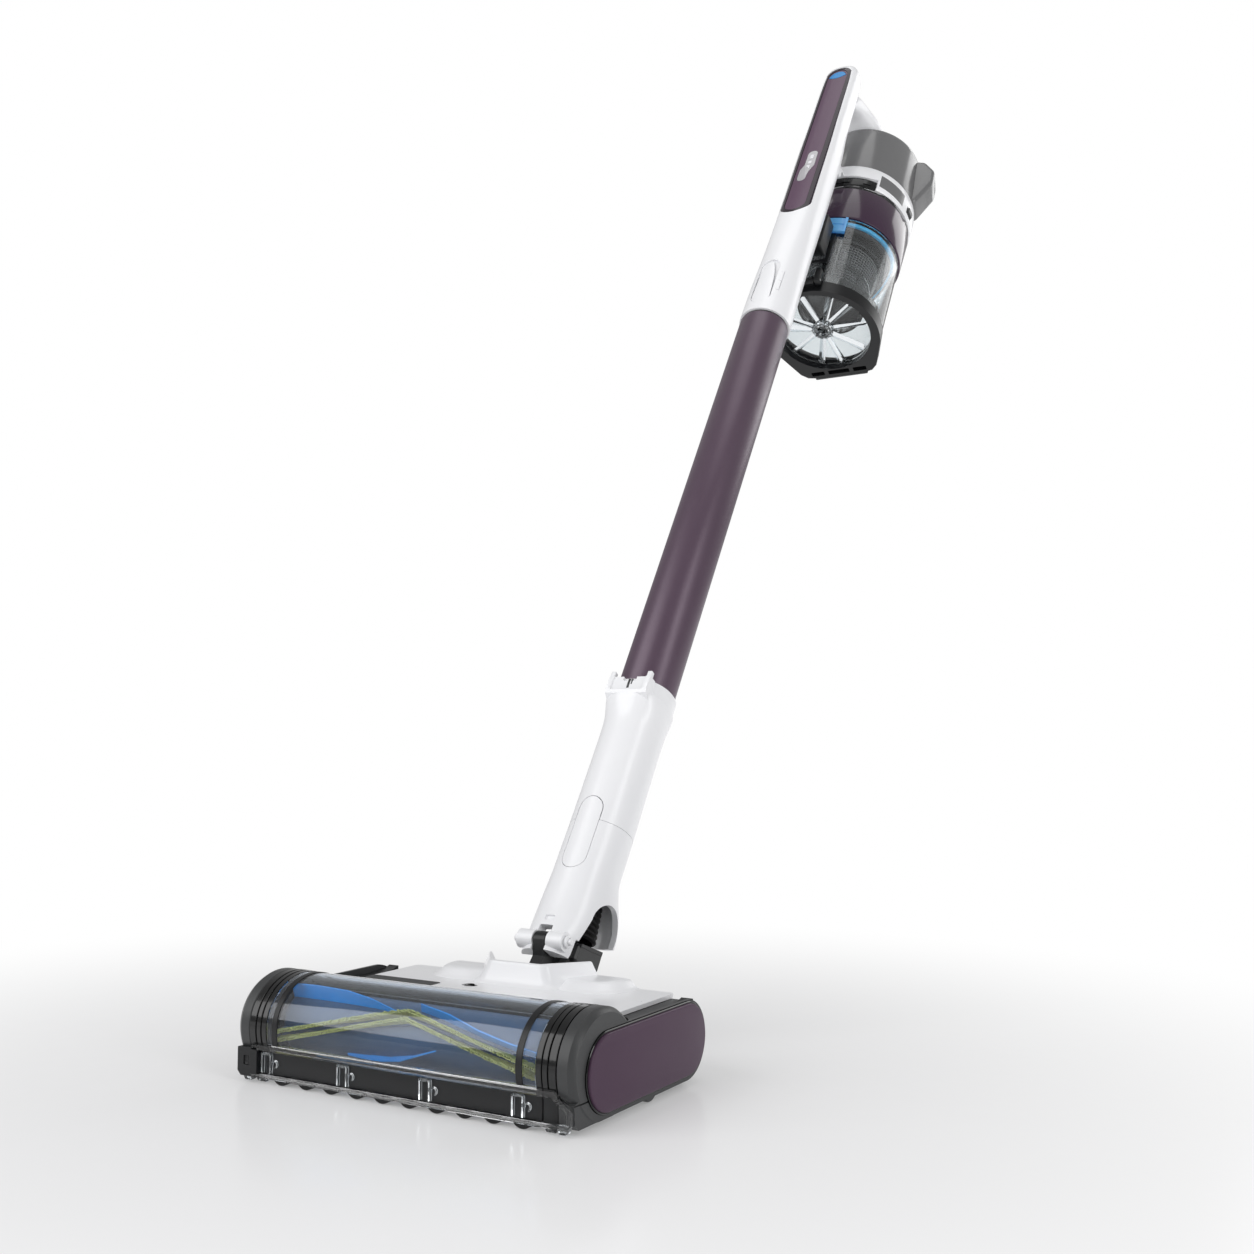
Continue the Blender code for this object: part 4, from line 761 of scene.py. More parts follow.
def buildCupDoor():
    door = dict(low=0.7600, high=0.7747, radius=0.0612, rear=0.0590, half=0.0330, opening=0.0520)
    frameShape = slab(doorOutline(door["radius"], door["rear"], door["half"]), door["low"], door["high"])
    cuts = [rod(door["opening"], 0.74, 0.80, (0, cupY - 0.0030, 0), steps=96),
            block((-0.0200, cupY - 0.0720, 0.75), (0.0200, cupY - 0.0605, 0.80))]
    cuts += [block((x - w, cupY + 0.0505, 0.7550), (x + w, cupY + 0.0560, 0.7700), 0.0008, 2) for x,
             w in ((-0.0240, 0.0075), (0.0, 0.0120), (0.0240, 0.0075))]
    hinge = block((-0.0118, 0.0440, 0.7665), (0.0118, 0.0520, 0.7715)), rod(0.0035, -0.0118, 0.0118,
                                                                            (0, 0.0425, 0.7690), "X", 32)
    shape = worked(frameShape, *cuts)
    shape = worked(shape, *hinge, how="UNION")
    makePiece("doorFrame", worked(shape, rod(0.0018, -0.03, 0.03, (0, 0.0425, 0.7690), "X", 32)),
              stickPlace, finishes["black"],
              "cup_door", ["door_frame"], 0.0011, 4)
    pane = turned([(0, 0.7672), (0.0516, 0.7672), (0.0516, 0.7690), (0, 0.7690)], (0, cupY - 0.0030, 0),
                  steps=96)
    makePiece("doorPane", pane, stickPlace, finishes["clear"], "cup_door", ["door_window"])
    # star of folded clear ribs round a ringed hub
    star = [turned([(0.0060, 0.7625), (0.0105, 0.7625), (0.0115, 0.7640), (0.0096, 0.7668),
                    (0.0070, 0.7668)], (0, cupY - 0.003, 0), steps=40)]
    for i in range(10):
        rib = bmesh.new()
        corners = [(0.0095, -0.0030), (0.0095, 0.0030), (0.0498, 0.0012 + 0.0052 * (i % 2)),
                   (0.0498, -0.0012 - 0.0030 * (i % 3))]
        face = rib.faces.new([rib.verts.new((x, y, 0.7668)) for x, y in corners])
        lower = bmesh.ops.extrude_face_region(rib, geom=[face])["geom"]
        tips = [v for v in lower if isinstance(v, bmesh.types.BMVert)]
        bmesh.ops.translate(rib, verts=tips, vec=(0, 0, -0.0040))
        bmesh.ops.scale(rib, verts=tips, vec=(0.96, 0.22, 1))
        bmesh.ops.rotate(rib, verts=rib.verts, matrix=Matrix.Rotation(2 * pi * i / 10 + 0.12 * (i % 3), 3,
                                                                      "Z"))
        bmesh.ops.translate(rib, verts=rib.verts, vec=(0, cupY - 0.003, 0))
        star.append(rib)
    makePiece("doorStar", merged(*star), stickPlace, finishes["star"], "cup_door", (), 0.0003, 2)
    hub = turned([(0, 0.7692), (0.0140, 0.7692), (0.0150, 0.7700), (0.0110, 0.7840), (0.0100, 0.7850),
                  (0, 0.7850)], (0, cupY - 0.003, 0), steps=48)
    makePiece("doorHub", hub, stickPlace, finishes["gloss"], "cup_door", (), 0.0006)
    pin = turned([(0, -0.0190), (0.0012, -0.0190), (0.0015, -0.0186), (0.0015, 0.0186), (0.0012, 0.0190),
                  (0, 0.0190)], (0, 0.0425, 0.7690), "X", 32)
    makePiece("doorHingePin", pin, stickPlace, finishes["steel"], "cup_door", ["door_hinge_pin"])
    latch = worked(block((-0.0300, cupY + 0.0604, 0.7610), (0.0300, cupY + 0.0630, 0.7807), 0.0009),
                   *[block((x, cupY + 0.0622, 0.7680), (x + 0.0012, cupY + 0.0650, 0.7770))
                     for x in (-0.0080, -0.0030, 0.0020, 0.0070)])
    makePiece("doorLatch", latch, stickPlace, finishes["darkGrey"], "door_latch",
              ["door_latch"], 0.0003, 2)


buildDustCup()
buildCupDoor()
print("dust cup built")


# Wand: tube, plug and lower collar.

def buildWand():
    tube = turned([(0.0218, 0.2100), (0.0236, 0.2100), (0.0238, 0.2104), (0.0238, 0.6540), (0.0235, 0.6548),
                   (0.0218, 0.6550)], steps=112)
    makePiece("wandTube", tube, stickPlace, finishes["tube"], "wand", ["wand_tube"])
    plug = turned([(0.0165, 0.6250), (0.0215, 0.6250), (0.0215, 0.6553), (0.0230, 0.6553), (0.0230, 0.6567),
                   (0.0191, 0.6567),
                   (0.0191, 0.6700), (0.0186, 0.6706), (0.0186, 0.6730), (0.0191, 0.6736), (0.0191, 0.7040),
                   (0.0184, 0.7050), (0.0165, 0.7050)], steps=96)
    makePiece("wandPlug", plug, stickPlace, finishes["black"], "wand", ["wand_plug"], 0.0003, 2)

    # the collar swells forward into a lip, with a ledge and two prongs above it
    collar = dict(tongueHalf=0.0106, tongueHigh=0.1196)
    rows = finer(((0.1003, 0.0252, -0.0252, 0.0252, 2.0), (0.1300, 0.0250, -0.0250, 0.0250, 2.0),
                  (0.1600, 0.0249, -0.0249, 0.0249, 2.0),
                  (0.1800, 0.0249, -0.0249, 0.0249, 2.0), (0.1920, 0.0250, -0.0251, 0.0250, 2.05),
                  (0.1990, 0.0251, -0.0260, 0.0250, 2.2),
                  (0.2050, 0.0252, -0.0275, 0.0251, 2.45), (0.2100, 0.0253, -0.0288, 0.0252, 2.6),
                  (0.2134, 0.0253, -0.0290, 0.0252, 2.6)), 4)
    shape = loft(rows, count=96)
    upper = loft(finer(((0.2120, 0.0252, -0.0262, 0.0252, 2.1), (0.2200, 0.0254, -0.0262, 0.0254, 2.1),
                        (0.2262, 0.0254, -0.0260, 0.0254, 2.1)), 3), count=96)
    lip = slab([(-0.0150, 0.2060), (-0.0220, 0.2070), (-0.0285, 0.2108), (-0.0298, 0.2135),
                (-0.0290, 0.2262), (-0.0200, 0.2262)], -0.0186, 0.0186, "X")
    prongs = [block((min(a, b), -0.0288, 0.2140), (max(a, b), -0.0243, 0.2312), 0.0009, 3) for a,
              b in ((-0.0188, -0.0146), (0.0146, 0.0188))]
    shape = worked(shape, upper, lip, *prongs, how="UNION")
    shape = worked(shape, block((-0.0146, -0.0400, 0.2132), (0.0146, -0.0280, 0.2400), 0.0012))
    button = slab(stadium(collar["tongueHalf"], 0.0500, collar["tongueHigh"], 24), -0.04, -0.0160, "Y")
    notch = block((-0.0060, -0.0400, 0.2225), (0.0060, -0.0250, 0.2400), 0.0008)
    bore = turned([(0, 0.09), (0.0200, 0.09), (0.0200, 0.2097), (0.0241, 0.2097), (0.0241, 0.24),
                   (0, 0.24)], steps=112)
    shape = worked(shape, bore, button, notch)
    makePiece("wandCollar", shape, stickPlace, finishes["white"], "wand", ["wand_collar"], 0.0006)
    clip = merged(block((-0.0010, -0.0282, 0.2155), (0.0012, -0.0256, 0.2240), 0.0003),
                  block((0.0020, -0.0282, 0.2190), (0.0032, -0.0256, 0.2240), 0.0003))
    makePiece("collarClip", clip, stickPlace, finishes["darkGrey"], "wand")


buildWand()
print("wand built")


# Neck, swivel and hose. The hose sits between the neck and the yoke, built along the neck's axis and tied to
# no body.

pinY = -0.0277
neckRows = finer(((-0.0088, 0.0218, -0.0325, 0.0270, 2.6), (0.0000, 0.0236, -0.0316, 0.0340, 2.5),
                  (0.0120, 0.0262, -0.0298, 0.0400, 2.4),
                  (0.0250, 0.0278, -0.0280, 0.0416, 2.3), (0.0400, 0.0272, -0.0268, 0.0372, 2.25),
                  (0.0540, 0.0256, -0.0260, 0.0290, 2.2),
                  (0.0650, 0.0248, -0.0256, 0.0246, 2.15), (0.0850, 0.0250, -0.0252, 0.0246, 2.1),
                  (0.1000, 0.0252, -0.0252, 0.0252, 2.0)), 5)
neckButton = dict(half=0.0100, low=0.0590, high=0.1190)


def buildNeck():
    shape = loft(neckRows, count=96)
    tongue = arc((0, 0), 0.0251, -114, -66, 12) + [(0.0102, -0.0166), (-0.0102, -0.0166)]
    tongue = worked(slab(tongue, 0.0900, 0.1300), slab(stadium(0.0103, 0.0500, 0.1193, 24), -0.04, 0.0,
                                                       "Y"), how="INTERSECT")
    lugs = [rod(0.0068, side * 0.0125 - 0.0066, side * 0.0125 + 0.0066, (0, pinY, 0), "X", 40)
            for side in (-1, 1)]
    shape = worked(shape, tongue, how="UNION")
    hollow = loft([(z, x - 0.0030, front + 0.0060, rear - 0.0030, 2.2) for z, x, front, rear in
                   ((-0.0200, 0.0218, -0.0280, 0.0290), (0.0000, 0.0232, -0.0275, 0.0340),
                    (0.0180, 0.0266, -0.0275, 0.0408), (0.0300, 0.0270, -0.0275, 0.0396),
                    (0.0600, 0.0242, -0.0260, 0.0240))], count=80)
    arch = arc((0.0060, 0.0250), 0.0185, 0, 180, 28) + [(-0.0170, 0.0060), (-0.0240, -0.0300),
                                                        (0.0270, -0.0300)]
    elbowRoom = block((-0.0188, -0.0186, -0.0200), (0.0188, 0, 0.0350), 0.0010)
    shape = worked(shape, hollow, elbowRoom, rod(0.0165, 0.0550, 0.1500),
                   rod(0.0200, 0.0800, 0.1500, steps=96), slab(arch, -0.04, 0.04, "X"))
    shape = worked(shape, slab([(-0.0192, -0.04), (0.06, -0.04), (0.06, 0.0300), (0.0260, 0.0200),
                                (0.0100, 0.0040), (-0.0050, 0), (-0.0050, 0.0060), (-0.0192, 0.0060)],
                               -0.045, 0.045, "X"))
    shape = worked(shape, *lugs, how="UNION")
    shape = worked(shape, block((-0.0055, -0.05, -0.03), (0.0055, -0.0150, 0.0110), 0.0008),
                   slab(grownStadium(neckButton["half"], neckButton["low"], neckButton["high"], 0.0004),
                        -0.04, -0.0206, "Y"),
                   rod(0.0027, -0.03, 0.03, (0, pinY, 0), "X", 32),
                   block((-0.0040, -0.05, 0.0150), (0.0040, -0.0272, 0.0190), 0.0010))
    makePiece("neckShell", shape, stickPlace, finishes["white"], "neck", ["neck_shell"], 0.0010, 3,
              38)
    button = worked(loft(finer(neckRows[:-1] + [(0.1000, 0.0252, -0.0252, 0.0252, 2.0),
                                                (0.1250, 0.0251, -0.0251, 0.0251, 2.0)], 1), count=96),
                    slab(stadium(neckButton["half"], neckButton["low"], neckButton["high"], 24), -0.04,
                         -0.0226, "Y"), how="INTERSECT")
    makePiece("neckReleaseButton", button, stickPlace, finishes["white"], "neck_release",
              ["neck_release_button"], 0.0008, 4)
    spigot = turned([(0.0167, 0.0803), (0.0197, 0.0803), (0.0197, 0.1340), (0.0192, 0.1346),
                     (0.0192, 0.1372), (0.0197, 0.1378),
                     (0.0197, 0.1490), (0.0190, 0.1500), (0.0167, 0.1500)], steps=80)
    makePiece("neckSpigot", spigot, stickPlace, finishes["black"], "neck", ["neck_spigot"], 0.0003,
              2)
    pin = turned([(0, -0.0240), (0.0018, -0.0240), (0.0024, -0.0234), (0.0024, 0.0234), (0.0018, 0.0240),
                  (0, 0.0240)], (0, pinY, 0), "X", 36)
    heads = [turned([(0.0024, side * 0.0196), (0.0044, side * 0.0196), (0.0044, side * 0.0212),
                     (0.0036, side * 0.0218), (0.0024, side * 0.0218)],
                    (0, pinY, 0), "X", 36) for side in (-1, 1)]
    makePiece("pitchPin", worked(pin, *heads, how="UNION"), stickPlace, finishes["white"], "neck",
              ["pitch_pin"], 0.0003, 2)


def stickToHead(y, z):
    at = Matrix.Rotation(lean, 3, "X") @ Vector((0, y, z))
    return at.y + hingeY, at.z + hingeZ


rollZ = 0.0360


def buildSwivel():
    pin = stickToHead(pinY, 0)
    boss = [(0.1420, 0.0236), (0.1600, 0.0236), (pin[0] + 0.0061,
                                                 pin[1] - 0.0100)] + arc(pin, 0.0062, -10, 170, 20)
    boss += [(pin[0] - 0.0062, pin[1] - 0.0100), (0.1485, 0.0570), (0.1420, 0.0500)]
    yoke = worked(slab(boss, -0.0049, 0.0049, "X"), block((-0.0146, 0.1366, 0.0222),
                                                          (0.0146, 0.1497, 0.0515), 0.0020),
                  rod(0.0130, 0.0850, 0.1380, (0, 0, rollZ), "Y"), how="UNION")
    yoke = worked(yoke, rod(0.0108, 0.07, 0.1445, (0, 0, rollZ), "Y"),
                  rod(0.0027, -0.03, 0.03, (0, pin[0], pin[1]), "X", 32))
    makePiece("swivelYoke", yoke, headPlace, finishes["black"], "yoke", ["swivel_yoke"], 0.0006, 2)
    side = [(0.1503, 0.0240), (0.1620, 0.0240), (0.1960, 0.0420), stickToHead(0.0185, 0.0040),
            stickToHead(0.0185, 0.0160),
            stickToHead(-0.0060, 0.0100), stickToHead(-0.0080, -0.0060), (0.1503, 0.0490)]
    elbow = slab(side, -0.0142, 0.0142, "X")
    bmesh.ops.bevel(elbow, geom=elbow.edges[:], offset=0.0032, affect="EDGES", segments=1, profile=0.5,
                    material=-1, offset_type="OFFSET")
    crown = slab([stickToHead(-0.0070, 0.0085), stickToHead(-0.0080, -0.0050), stickToHead(0.0120, -0.0080),
                  stickToHead(0.0240, -0.0020),
                  stickToHead(0.0322, 0.0110), stickToHead(0.0300, 0.0165)], -0.0176, 0.0176, "X")
    bmesh.ops.bevel(crown, geom=crown.edges[:], offset=0.0018, affect="EDGES", segments=1, profile=0.5,
                    material=-1, offset_type="OFFSET")
    lip = [stickToHead(-0.0064, 0.0062), stickToHead(0.0322, 0.0146), stickToHead(0.0334, 0.0180),
           stickToHead(-0.0060, 0.0088)]
    crown = worked(crown, slab(lip, -0.0182, 0.0182, "X"), how="UNION")
    # the rear corners are cut off, so the neck clears them as it leans back
    plan = slab([(-0.0190, -0.0300), (0.0190, -0.0300), (0.0190, 0.0220), (0.0110, 0.0322),
                 (-0.0110, 0.0322), (-0.0190, 0.0220)], -0.03, 0.04)
    bmesh.ops.transform(plan, verts=plan.verts[:], matrix=headPlace.inverted() @ stickPlace)
    elbow = worked(elbow, worked(crown, plan, how="INTERSECT"), how="UNION")
    elbow = worked(elbow, block((-0.0053, 0.1400, 0.02), (0.0053, 0.1790, 0.09)))
    makePiece("airElbow", elbow, headPlace, finishes["elbow"], "yoke", ["air_elbow"], 0.0006,
              3, 28)


def buildHose():
    hose = dict(low=0.0185, high=0.0545, radius=0.0140, folds=9, depth=0.0022, shift=0.0075, lineUp=0.0060)
    shape = bmesh.new()
    steps = hose["folds"] * 8
    loops = []
    for i in range(steps + 1):
        share = i / steps
        radius = hose["radius"] - hose["depth"] * (0.5 + 0.5 * cos(2 * pi * share * hose["folds"])) ** 1.4
        loops.append(ovalLoop(shape, radius, -radius, radius, 0, 2.0, 48))
        ring = {v for e in loops[-1] for v in e.verts}
        bmesh.ops.translate(shape, verts=list(ring), vec=(0, hose["lineUp"] + hose["shift"] * (1 - share),
                                                          hose["low"] + (hose["high"] - hose["low"]) * share))
    for near, far in zip(loops, loops[1:]):
        bmesh.ops.bridge_loops(shape, edges=near + far)
    bmesh.ops.recalc_face_normals(shape, faces=shape.faces)
    bmesh.ops.solidify(shape, geom=shape.faces[:], thickness=0.0008)
    hosePiece = makePiece("flexHose", shape, stickPlace, finishes["rubber"], None, ["flex_hose"],
                          sharp=60)
    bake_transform(hosePiece)


buildNeck()
buildSwivel()
buildHose()
print("neck built")

# Floor head. Brush parts are placed by distance along the brush and degrees round it.

brushAxis = (0.0370, 0.0350)
window = dict(half=0.1045, outer=0.0350, wall=0.0016, low=196, top=60, flat=0.895)


def strung(loops, closed=False):
    # skin over loops with equal numbers of points
    shape = bmesh.new()
    rings = [[shape.verts.new(p) for p in loop] for loop in loops]
    pairs = list(zip(rings, rings[1:])) + ([(rings[-1], rings[0])] if closed else [])
    for near, far in pairs:
        for i in range(len(near)):
            k = (i + 1) % len(near)
            shape.faces.new((near[i], near[k], far[k], far[i]))
    if not closed:
        shape.faces.new(rings[0][::-1])
        shape.faces.new(rings[-1])
    bmesh.ops.recalc_face_normals(shape, faces=shape.faces)
    return shape


def roundBrush(x, radius, turn):
    return (x, brushAxis[0] + radius * cos(radians(turn)), brushAxis[1] + radius * sin(radians(turn)))


def flattened(shape):
    # the dome over the brush is a little lower than it is round
    for v in shape.verts:
        if v.co.z > brushAxis[1]:
            v.co.z = brushAxis[1] + (v.co.z - brushAxis[1]) * window["flat"]
    return shape


def ringPart(outer, inner, low, high, start, end, steps=56, lip=0.0006):
    # part of a ring about the brush axis, with eased rims
    profile = [(inner, low), (outer - lip, low), (outer, low + lip), (outer, high - lip),
               (outer - lip, high), (inner, high)]
    return flattened(partTurned(profile, (0, *brushAxis), "X", start, end, steps))


def tubLoop(front, halfFront, halfRear, corner, z, rear=0.1640):
    # open-backed tray outline with round front corners
    left = arc((-halfFront + corner, front + corner), corner, 200, 270, 10)
    right = arc((halfFront - corner, front + corner), corner, 270, 340, 10)
    return [(x, y, z) for x, y in left + right + [(halfRear, rear), (-halfRear, rear)]]


def buildDeck():
    deck = dict(half=0.1088, front=0.0690, rear=0.1603, low=0.0503, top=0.0530)
    outline = roundedBox((-deck["half"], deck["front"]), (deck["half"], deck["rear"]), 0.0040, 5)
    plate = slab(outline, deck["low"], deck["top"])
    tub = strung([tubLoop(0.1235, 0.0370, 0.0570, 0.0110, 0.0512),
                  tubLoop(0.1240, 0.0362, 0.0565, 0.0108, 0.0532),
                  tubLoop(0.1257, 0.0335, 0.0545, 0.0100, 0.0541),
                  tubLoop(0.1270, 0.0315, 0.0530, 0.0092, 0.0556),
                  tubLoop(0.1280, 0.0300, 0.0512, 0.0088, 0.0585),
                  tubLoop(0.1290, 0.0285, 0.0492, 0.0085, 0.0620),
                  tubLoop(0.1299, 0.0270, 0.0472, 0.0082, 0.0655),
                  tubLoop(0.1302, 0.0264, 0.0464, 0.0080, 0.0670),
                  tubLoop(0.1306, 0.0259, 0.0457, 0.0076, 0.0677),
                  tubLoop(0.1313, 0.0252, 0.0449, 0.0070, 0.0680)])
    humps = []
    for side in (-1, 1):
        rows = ((0.0512, 0.0300, 0.0330, 2.6), (0.0532, 0.0292, 0.0322, 2.6), (0.0541, 0.0270, 0.0300, 2.5),
                (0.0556, 0.0252, 0.0282, 2.4),
                (0.0578, 0.0235, 0.0262, 2.3), (0.0588, 0.0212, 0.0240, 2.3), (0.0592, 0.0170, 0.0200, 2.2))
        hump = bmesh.new()
        loops = [ovalLoop(hump, half, 0.1603 - reach, 0.1603 + reach, z, power, 64) for z, half, reach,
                 power in rows]
        for near, far in zip(loops, loops[1:]):
            bmesh.ops.bridge_loops(hump, edges=near + far)
        for end in (loops[0], loops[-1]):
            bmesh.ops.edgeloop_fill(hump, edges=end)
        bmesh.ops.translate(hump, verts=hump.verts, vec=(side * 0.0520, 0, 0))
        humps.append(hump)
    shape = worked(plate, tub, *humps, how="UNION")
    inner = strung([tubLoop(0.1322, 0.0238, 0.0600, 0.0070, 0.0400, 0.1800),
                    tubLoop(0.1338, 0.0222, 0.0580, 0.0060, 0.0720, 0.1800)])
    rear = block((-0.2, 0.1604, 0.0), (0.2, 0.3, 0.2))
    seam = slab([(0.0195, 0.0680), (0.0201, 0.0680), (0.0201, 0.0970), (0.0375, 0.1224), (0.0371, 0.1228),
                 (0.0195, 0.0972)], 0.0526, 0.0600)
    cuts = [inner, rear, seam, block((-0.1093, 0.0991, 0.0520), (-0.0478, 0.1119, 0.0600), 0.0010),
            block((-0.0330, 0.1085, 0.0470), (-0.0185, 0.1172, 0.0522), 0.0004),
            rod(0.0010, 0.0520, 0.0600, (0.1035, 0.1235, 0), steps=20)]
    cuts += [block((-deck["half"] - 0.001, deck["front"] - 0.01, 0.0526), (-0.0480, 0.0703, 0.0600))]
    shape = worked(shape, *cuts)
    latchSlot = slab(stadiumFlat(-0.0322, -0.0198, 0.1137, 0.0030), 0.0500, 0.0600)
    makePiece("topCover", worked(shape, latchSlot), headPlace, finishes["white"], "floor_head",
              ["top_cover"], 0.0004, 2, 35)
    strip = slab(roundedBox((-0.1086, 0.0997), (-0.0484, 0.1113), 0.0024), 0.0524, 0.0531)
    ribs = [slab(roundedBox((-0.1070, y), (-0.0500, y + 0.0010), 0.0004, 3), 0.0529, 0.0533)
            for y in (0.1008, 0.1027, 0.1046, 0.1065, 0.1084, 0.1098)]
    makePiece("coverInlay", merged(strip, *ribs), headPlace, finishes["darkGrey"], "floor_head",
              ["cover_inlay"], 0.0002, 2)
    crescent = arc((-0.0262, 0.1136), 0.0036, 20, 340, 28) + arc((-0.0250, 0.1136), 0.0022, 320, 40, 16)
    makePiece("windowLatch", slab(crescent, 0.0512, 0.0536), headPlace, finishes["gloss"], "window_latch",
              ["window_latch"], 0.0003, 3)


def stadiumFlat(low, high, middle, half, steps=14):
    return [(x, middle + y) for y, x in ((p[0], p[1]) for p in stadium(half, low, high, steps))]


def buildWindow():
    pane = ringPart(window["outer"], window["outer"] - window["wall"], -window["half"], window["half"],
                    window["top"], window["low"], 72, 0.0003)
    makePiece("frontWindow", pane, headPlace, finishes["smoke"], "floor_head", ["front_window"],
              sharp=40)
    hoops = [ringPart(0.0354, 0.0344, x, x + 0.0046, window["top"], window["low"], 56, 0.0003)
             for x in (-0.1000, 0.0906)]
    makePiece("windowHoops", merged(*hoops), headPlace, finishes["black"], "floor_head")
    band = [ringPart(0.0354, 0.0322, -0.1180, 0.1180, 36.0, 59.4, 14, 0.0004),
            ringPart(0.0357, 0.0340, -0.1000, 0.1040, 50.0, 52.0, 4, 0.0003),
            ringPart(0.0357, 0.0340, -0.1000, 0.1040, 57.2, 59.0, 4, 0.0003)]
    makePiece("windowBand", worked(band[0], *band[1:], how="UNION"), headPlace, finishes["gloss"],
              "floor_head", ["window_band"], 0.0003, 2)
    for side, label in ((-1, "Left"), (1, "Right")):
        spans = [(0.1046, 0.1086, 0.0354), (0.1086, 0.1094, 0.0346), (0.1094, 0.1128, 0.0356),
                 (0.1128, 0.1137, 0.0345), (0.1137, 0.1186, 0.0357)]
        rings = [ringPart(radius, 0.0324, *sorted((side * near, side * far)), window["top"],
                          window["low"] + 12, 60, 0.0002) for near, far, radius in spans]
        makePiece(f"windowEnd{label}", merged(*rings), headPlace, finishes["gloss"], "floor_head",
                  [f"window_end_{label.lower()}"], 0.0002, 2)


def buildFront():
    # black bar under the window, with a clear strip and clear staples in front of it
    bar = block((-0.1078, 0.0046, 0.0064), (0.1078, 0.0078, 0.0206), 0.0007, 3)
    grooves = [block((x - 0.0050, 0.0040, 0.0060), (x + 0.0050, 0.0051, 0.0210), 0.0003, 2)
               for x in (-0.1050, -0.0410, 0.0240, 0.0915)]
    makePiece("frontBar", worked(bar, *grooves), headPlace, finishes["black"], "floor_head",
              ["front_bar"], 0.0003, 2)
    rails = [[(0.0012, 0.0214), (0.0058, 0.0220), (0.0058, 0.0240), (0.0030, 0.0251), (0.0012, 0.0246)],
             [(0.0010, 0.0052), (0.0016, 0.0040), (0.0034, 0.0038), (0.0044, 0.0048), (0.0044, 0.0060),
              (0.0014, 0.0062)]]
    end = [(0.1130, 0.0250), (0.1168, 0.0250), (0.1278, 0.0168), (0.1290, 0.0150), (0.1290, 0.0070),
           (0.1262, 0.0042), (0.1130, 0.0042), (0.1130, 0.0066),
           (0.1244, 0.0066), (0.1256, 0.0082), (0.1256, 0.0140), (0.1150, 0.0218), (0.1130, 0.0218)]
    corner = slab(end, 0.0010, 0.0058, "Y")
    makePiece("frontBumper", worked(corner, *[slab(rail, -0.1170, 0.1150, "X") for rail in rails],
                                    how="UNION"), headPlace, finishes["rail"], "floor_head",
              ["front_bumper"], 0.0003, 2)
    staples = []
    for middle in (-0.1050, -0.0410, 0.0240, 0.0915):
        for x in (-0.0042, 0.0030):
            staples.append(block((middle + x, 0.0023, 0.0070), (middle + x + 0.0014, 0.0047, 0.0202),
                                 0.0005, 3))
        staples.append(block((middle - 0.0040, 0.0024, 0.0186), (middle + 0.0042, 0.0040, 0.0200), 0.0004, 2))
        hook = arc((middle + 0.0066, 0.0135), 0.0026, -70, 200, 14) + arc((middle + 0.0066, 0.0135), 0.0017,
                                                                          200, -70, 14)
        staples.append(slab(hook, 0.0030, 0.0044, "Y"))
    makePiece("bumperStaples", merged(*staples), headPlace, finishes["star"], "floor_head", (),
              0.0002, 2)
    guide = [(-0.1290, 0.0220), (-0.1120, 0.0232), (-0.1120, 0.0040), (-0.1262, 0.0040), (-0.1290, 0.0070)]
    block1 = worked(slab(guide, 0.0012, 0.0110, "Y"), block((-0.1235, 0.0000, 0.0110),
                                                            (-0.1190, 0.0022, 0.0170), 0.0004, 2))
    makePiece("rightCorner", block((0.1081, 0.0046, 0.0040), (0.1187, 0.0110, 0.0216), 0.0008, 3),
              headPlace, finishes["black"], "floor_head")
    makePiece("leftCorner", block1, headPlace, finishes["black"], "floor_head", (), 0.0008, 3)
    foot = merged(slab([(0.1180, 0.0070), (0.1276, 0.0070), (0.1240, 0.0012), (0.1196, 0.0012)], 0.0030,
                       0.0085, "Y"),
                  slab([(-0.1262, 0.0050), (-0.1170, 0.0050), (-0.1190, 0.0010), (-0.1240, 0.0010)], 0.0030,
                       0.0085, "Y"))
    makePiece("cornerFeet", foot, headPlace, finishes["star"], "floor_head", (), 0.0008, 3)
    # dark rubber half discs below the front rail: painted shade, dark shapes set where the rail's shadow
    # falls on the floor
    lobes = [rod(0.0085, 0.0046, 0.0120, (-0.0935 + 0.0208 * i, 0, 0.0089), "Y", 48) for i in range(10)]
    trim = block((-0.12, 0.0, 0.0060), (0.12, 0.05, 0.02))
    shadeLobes = worked(merged(*lobes), trim)
    makePiece("frontShadeLobes", shadeLobes, headPlace, finishes["rubber"], "floor_head", (), 0.0004, 2)


def buildSole():
    sole = dict(low=0.0034, high=0.0062)
    plate = slab(roundedBox((-0.1180, 0.0086), (0.1180, 0.1585), 0.0060), sole["low"], sole["high"])
    cuts = [slab(roundedBox((-0.1062, 0.0185), (0.1062, 0.0600), 0.0030), 0.0, 0.02),
            block((-0.1085, 0.0830, 0.0), (-0.0915, 0.1030, 0.02)),
            block((0.0915, 0.0830, 0.0), (0.1085, 0.1030, 0.02)),
            block((-0.1165, 0.0030, 0.0), (-0.1080, 0.0135, 0.02)),
            block((0.1080, 0.0030, 0.0), (0.1165, 0.0135, 0.02))]
    cuts += [slab(roundedBox((x, 0.1130), (x + 0.0020, 0.1500), 0.0008, 3), 0.0, sole["low"] + 0.0008)
             for x in (-0.0800, -0.0600, -0.0400, 0.0380, 0.0580, 0.0780)]
    cuts += [rod(0.0030, 0.0, sole["low"] + 0.0012, (x, y, 0), steps=24) for x in (-0.0980, 0.0980)
             for y in (0.0690, 0.1450)]
    makePiece("solePlate", worked(plate, *cuts), headPlace, finishes["black"], "floor_head",
              ["sole_plate"], 0.0005, 2)
    lips = [strung([[(x, 0.0640, 0.0034), (x, 0.0665, 0.0034), (x, 0.0655, 0.0009), (x, 0.0645, 0.0009)]
                    for x in (-0.1050, 0.1050)])]
    makePiece("rearLip", merged(*lips), headPlace, finishes["rubber"], "floor_head")


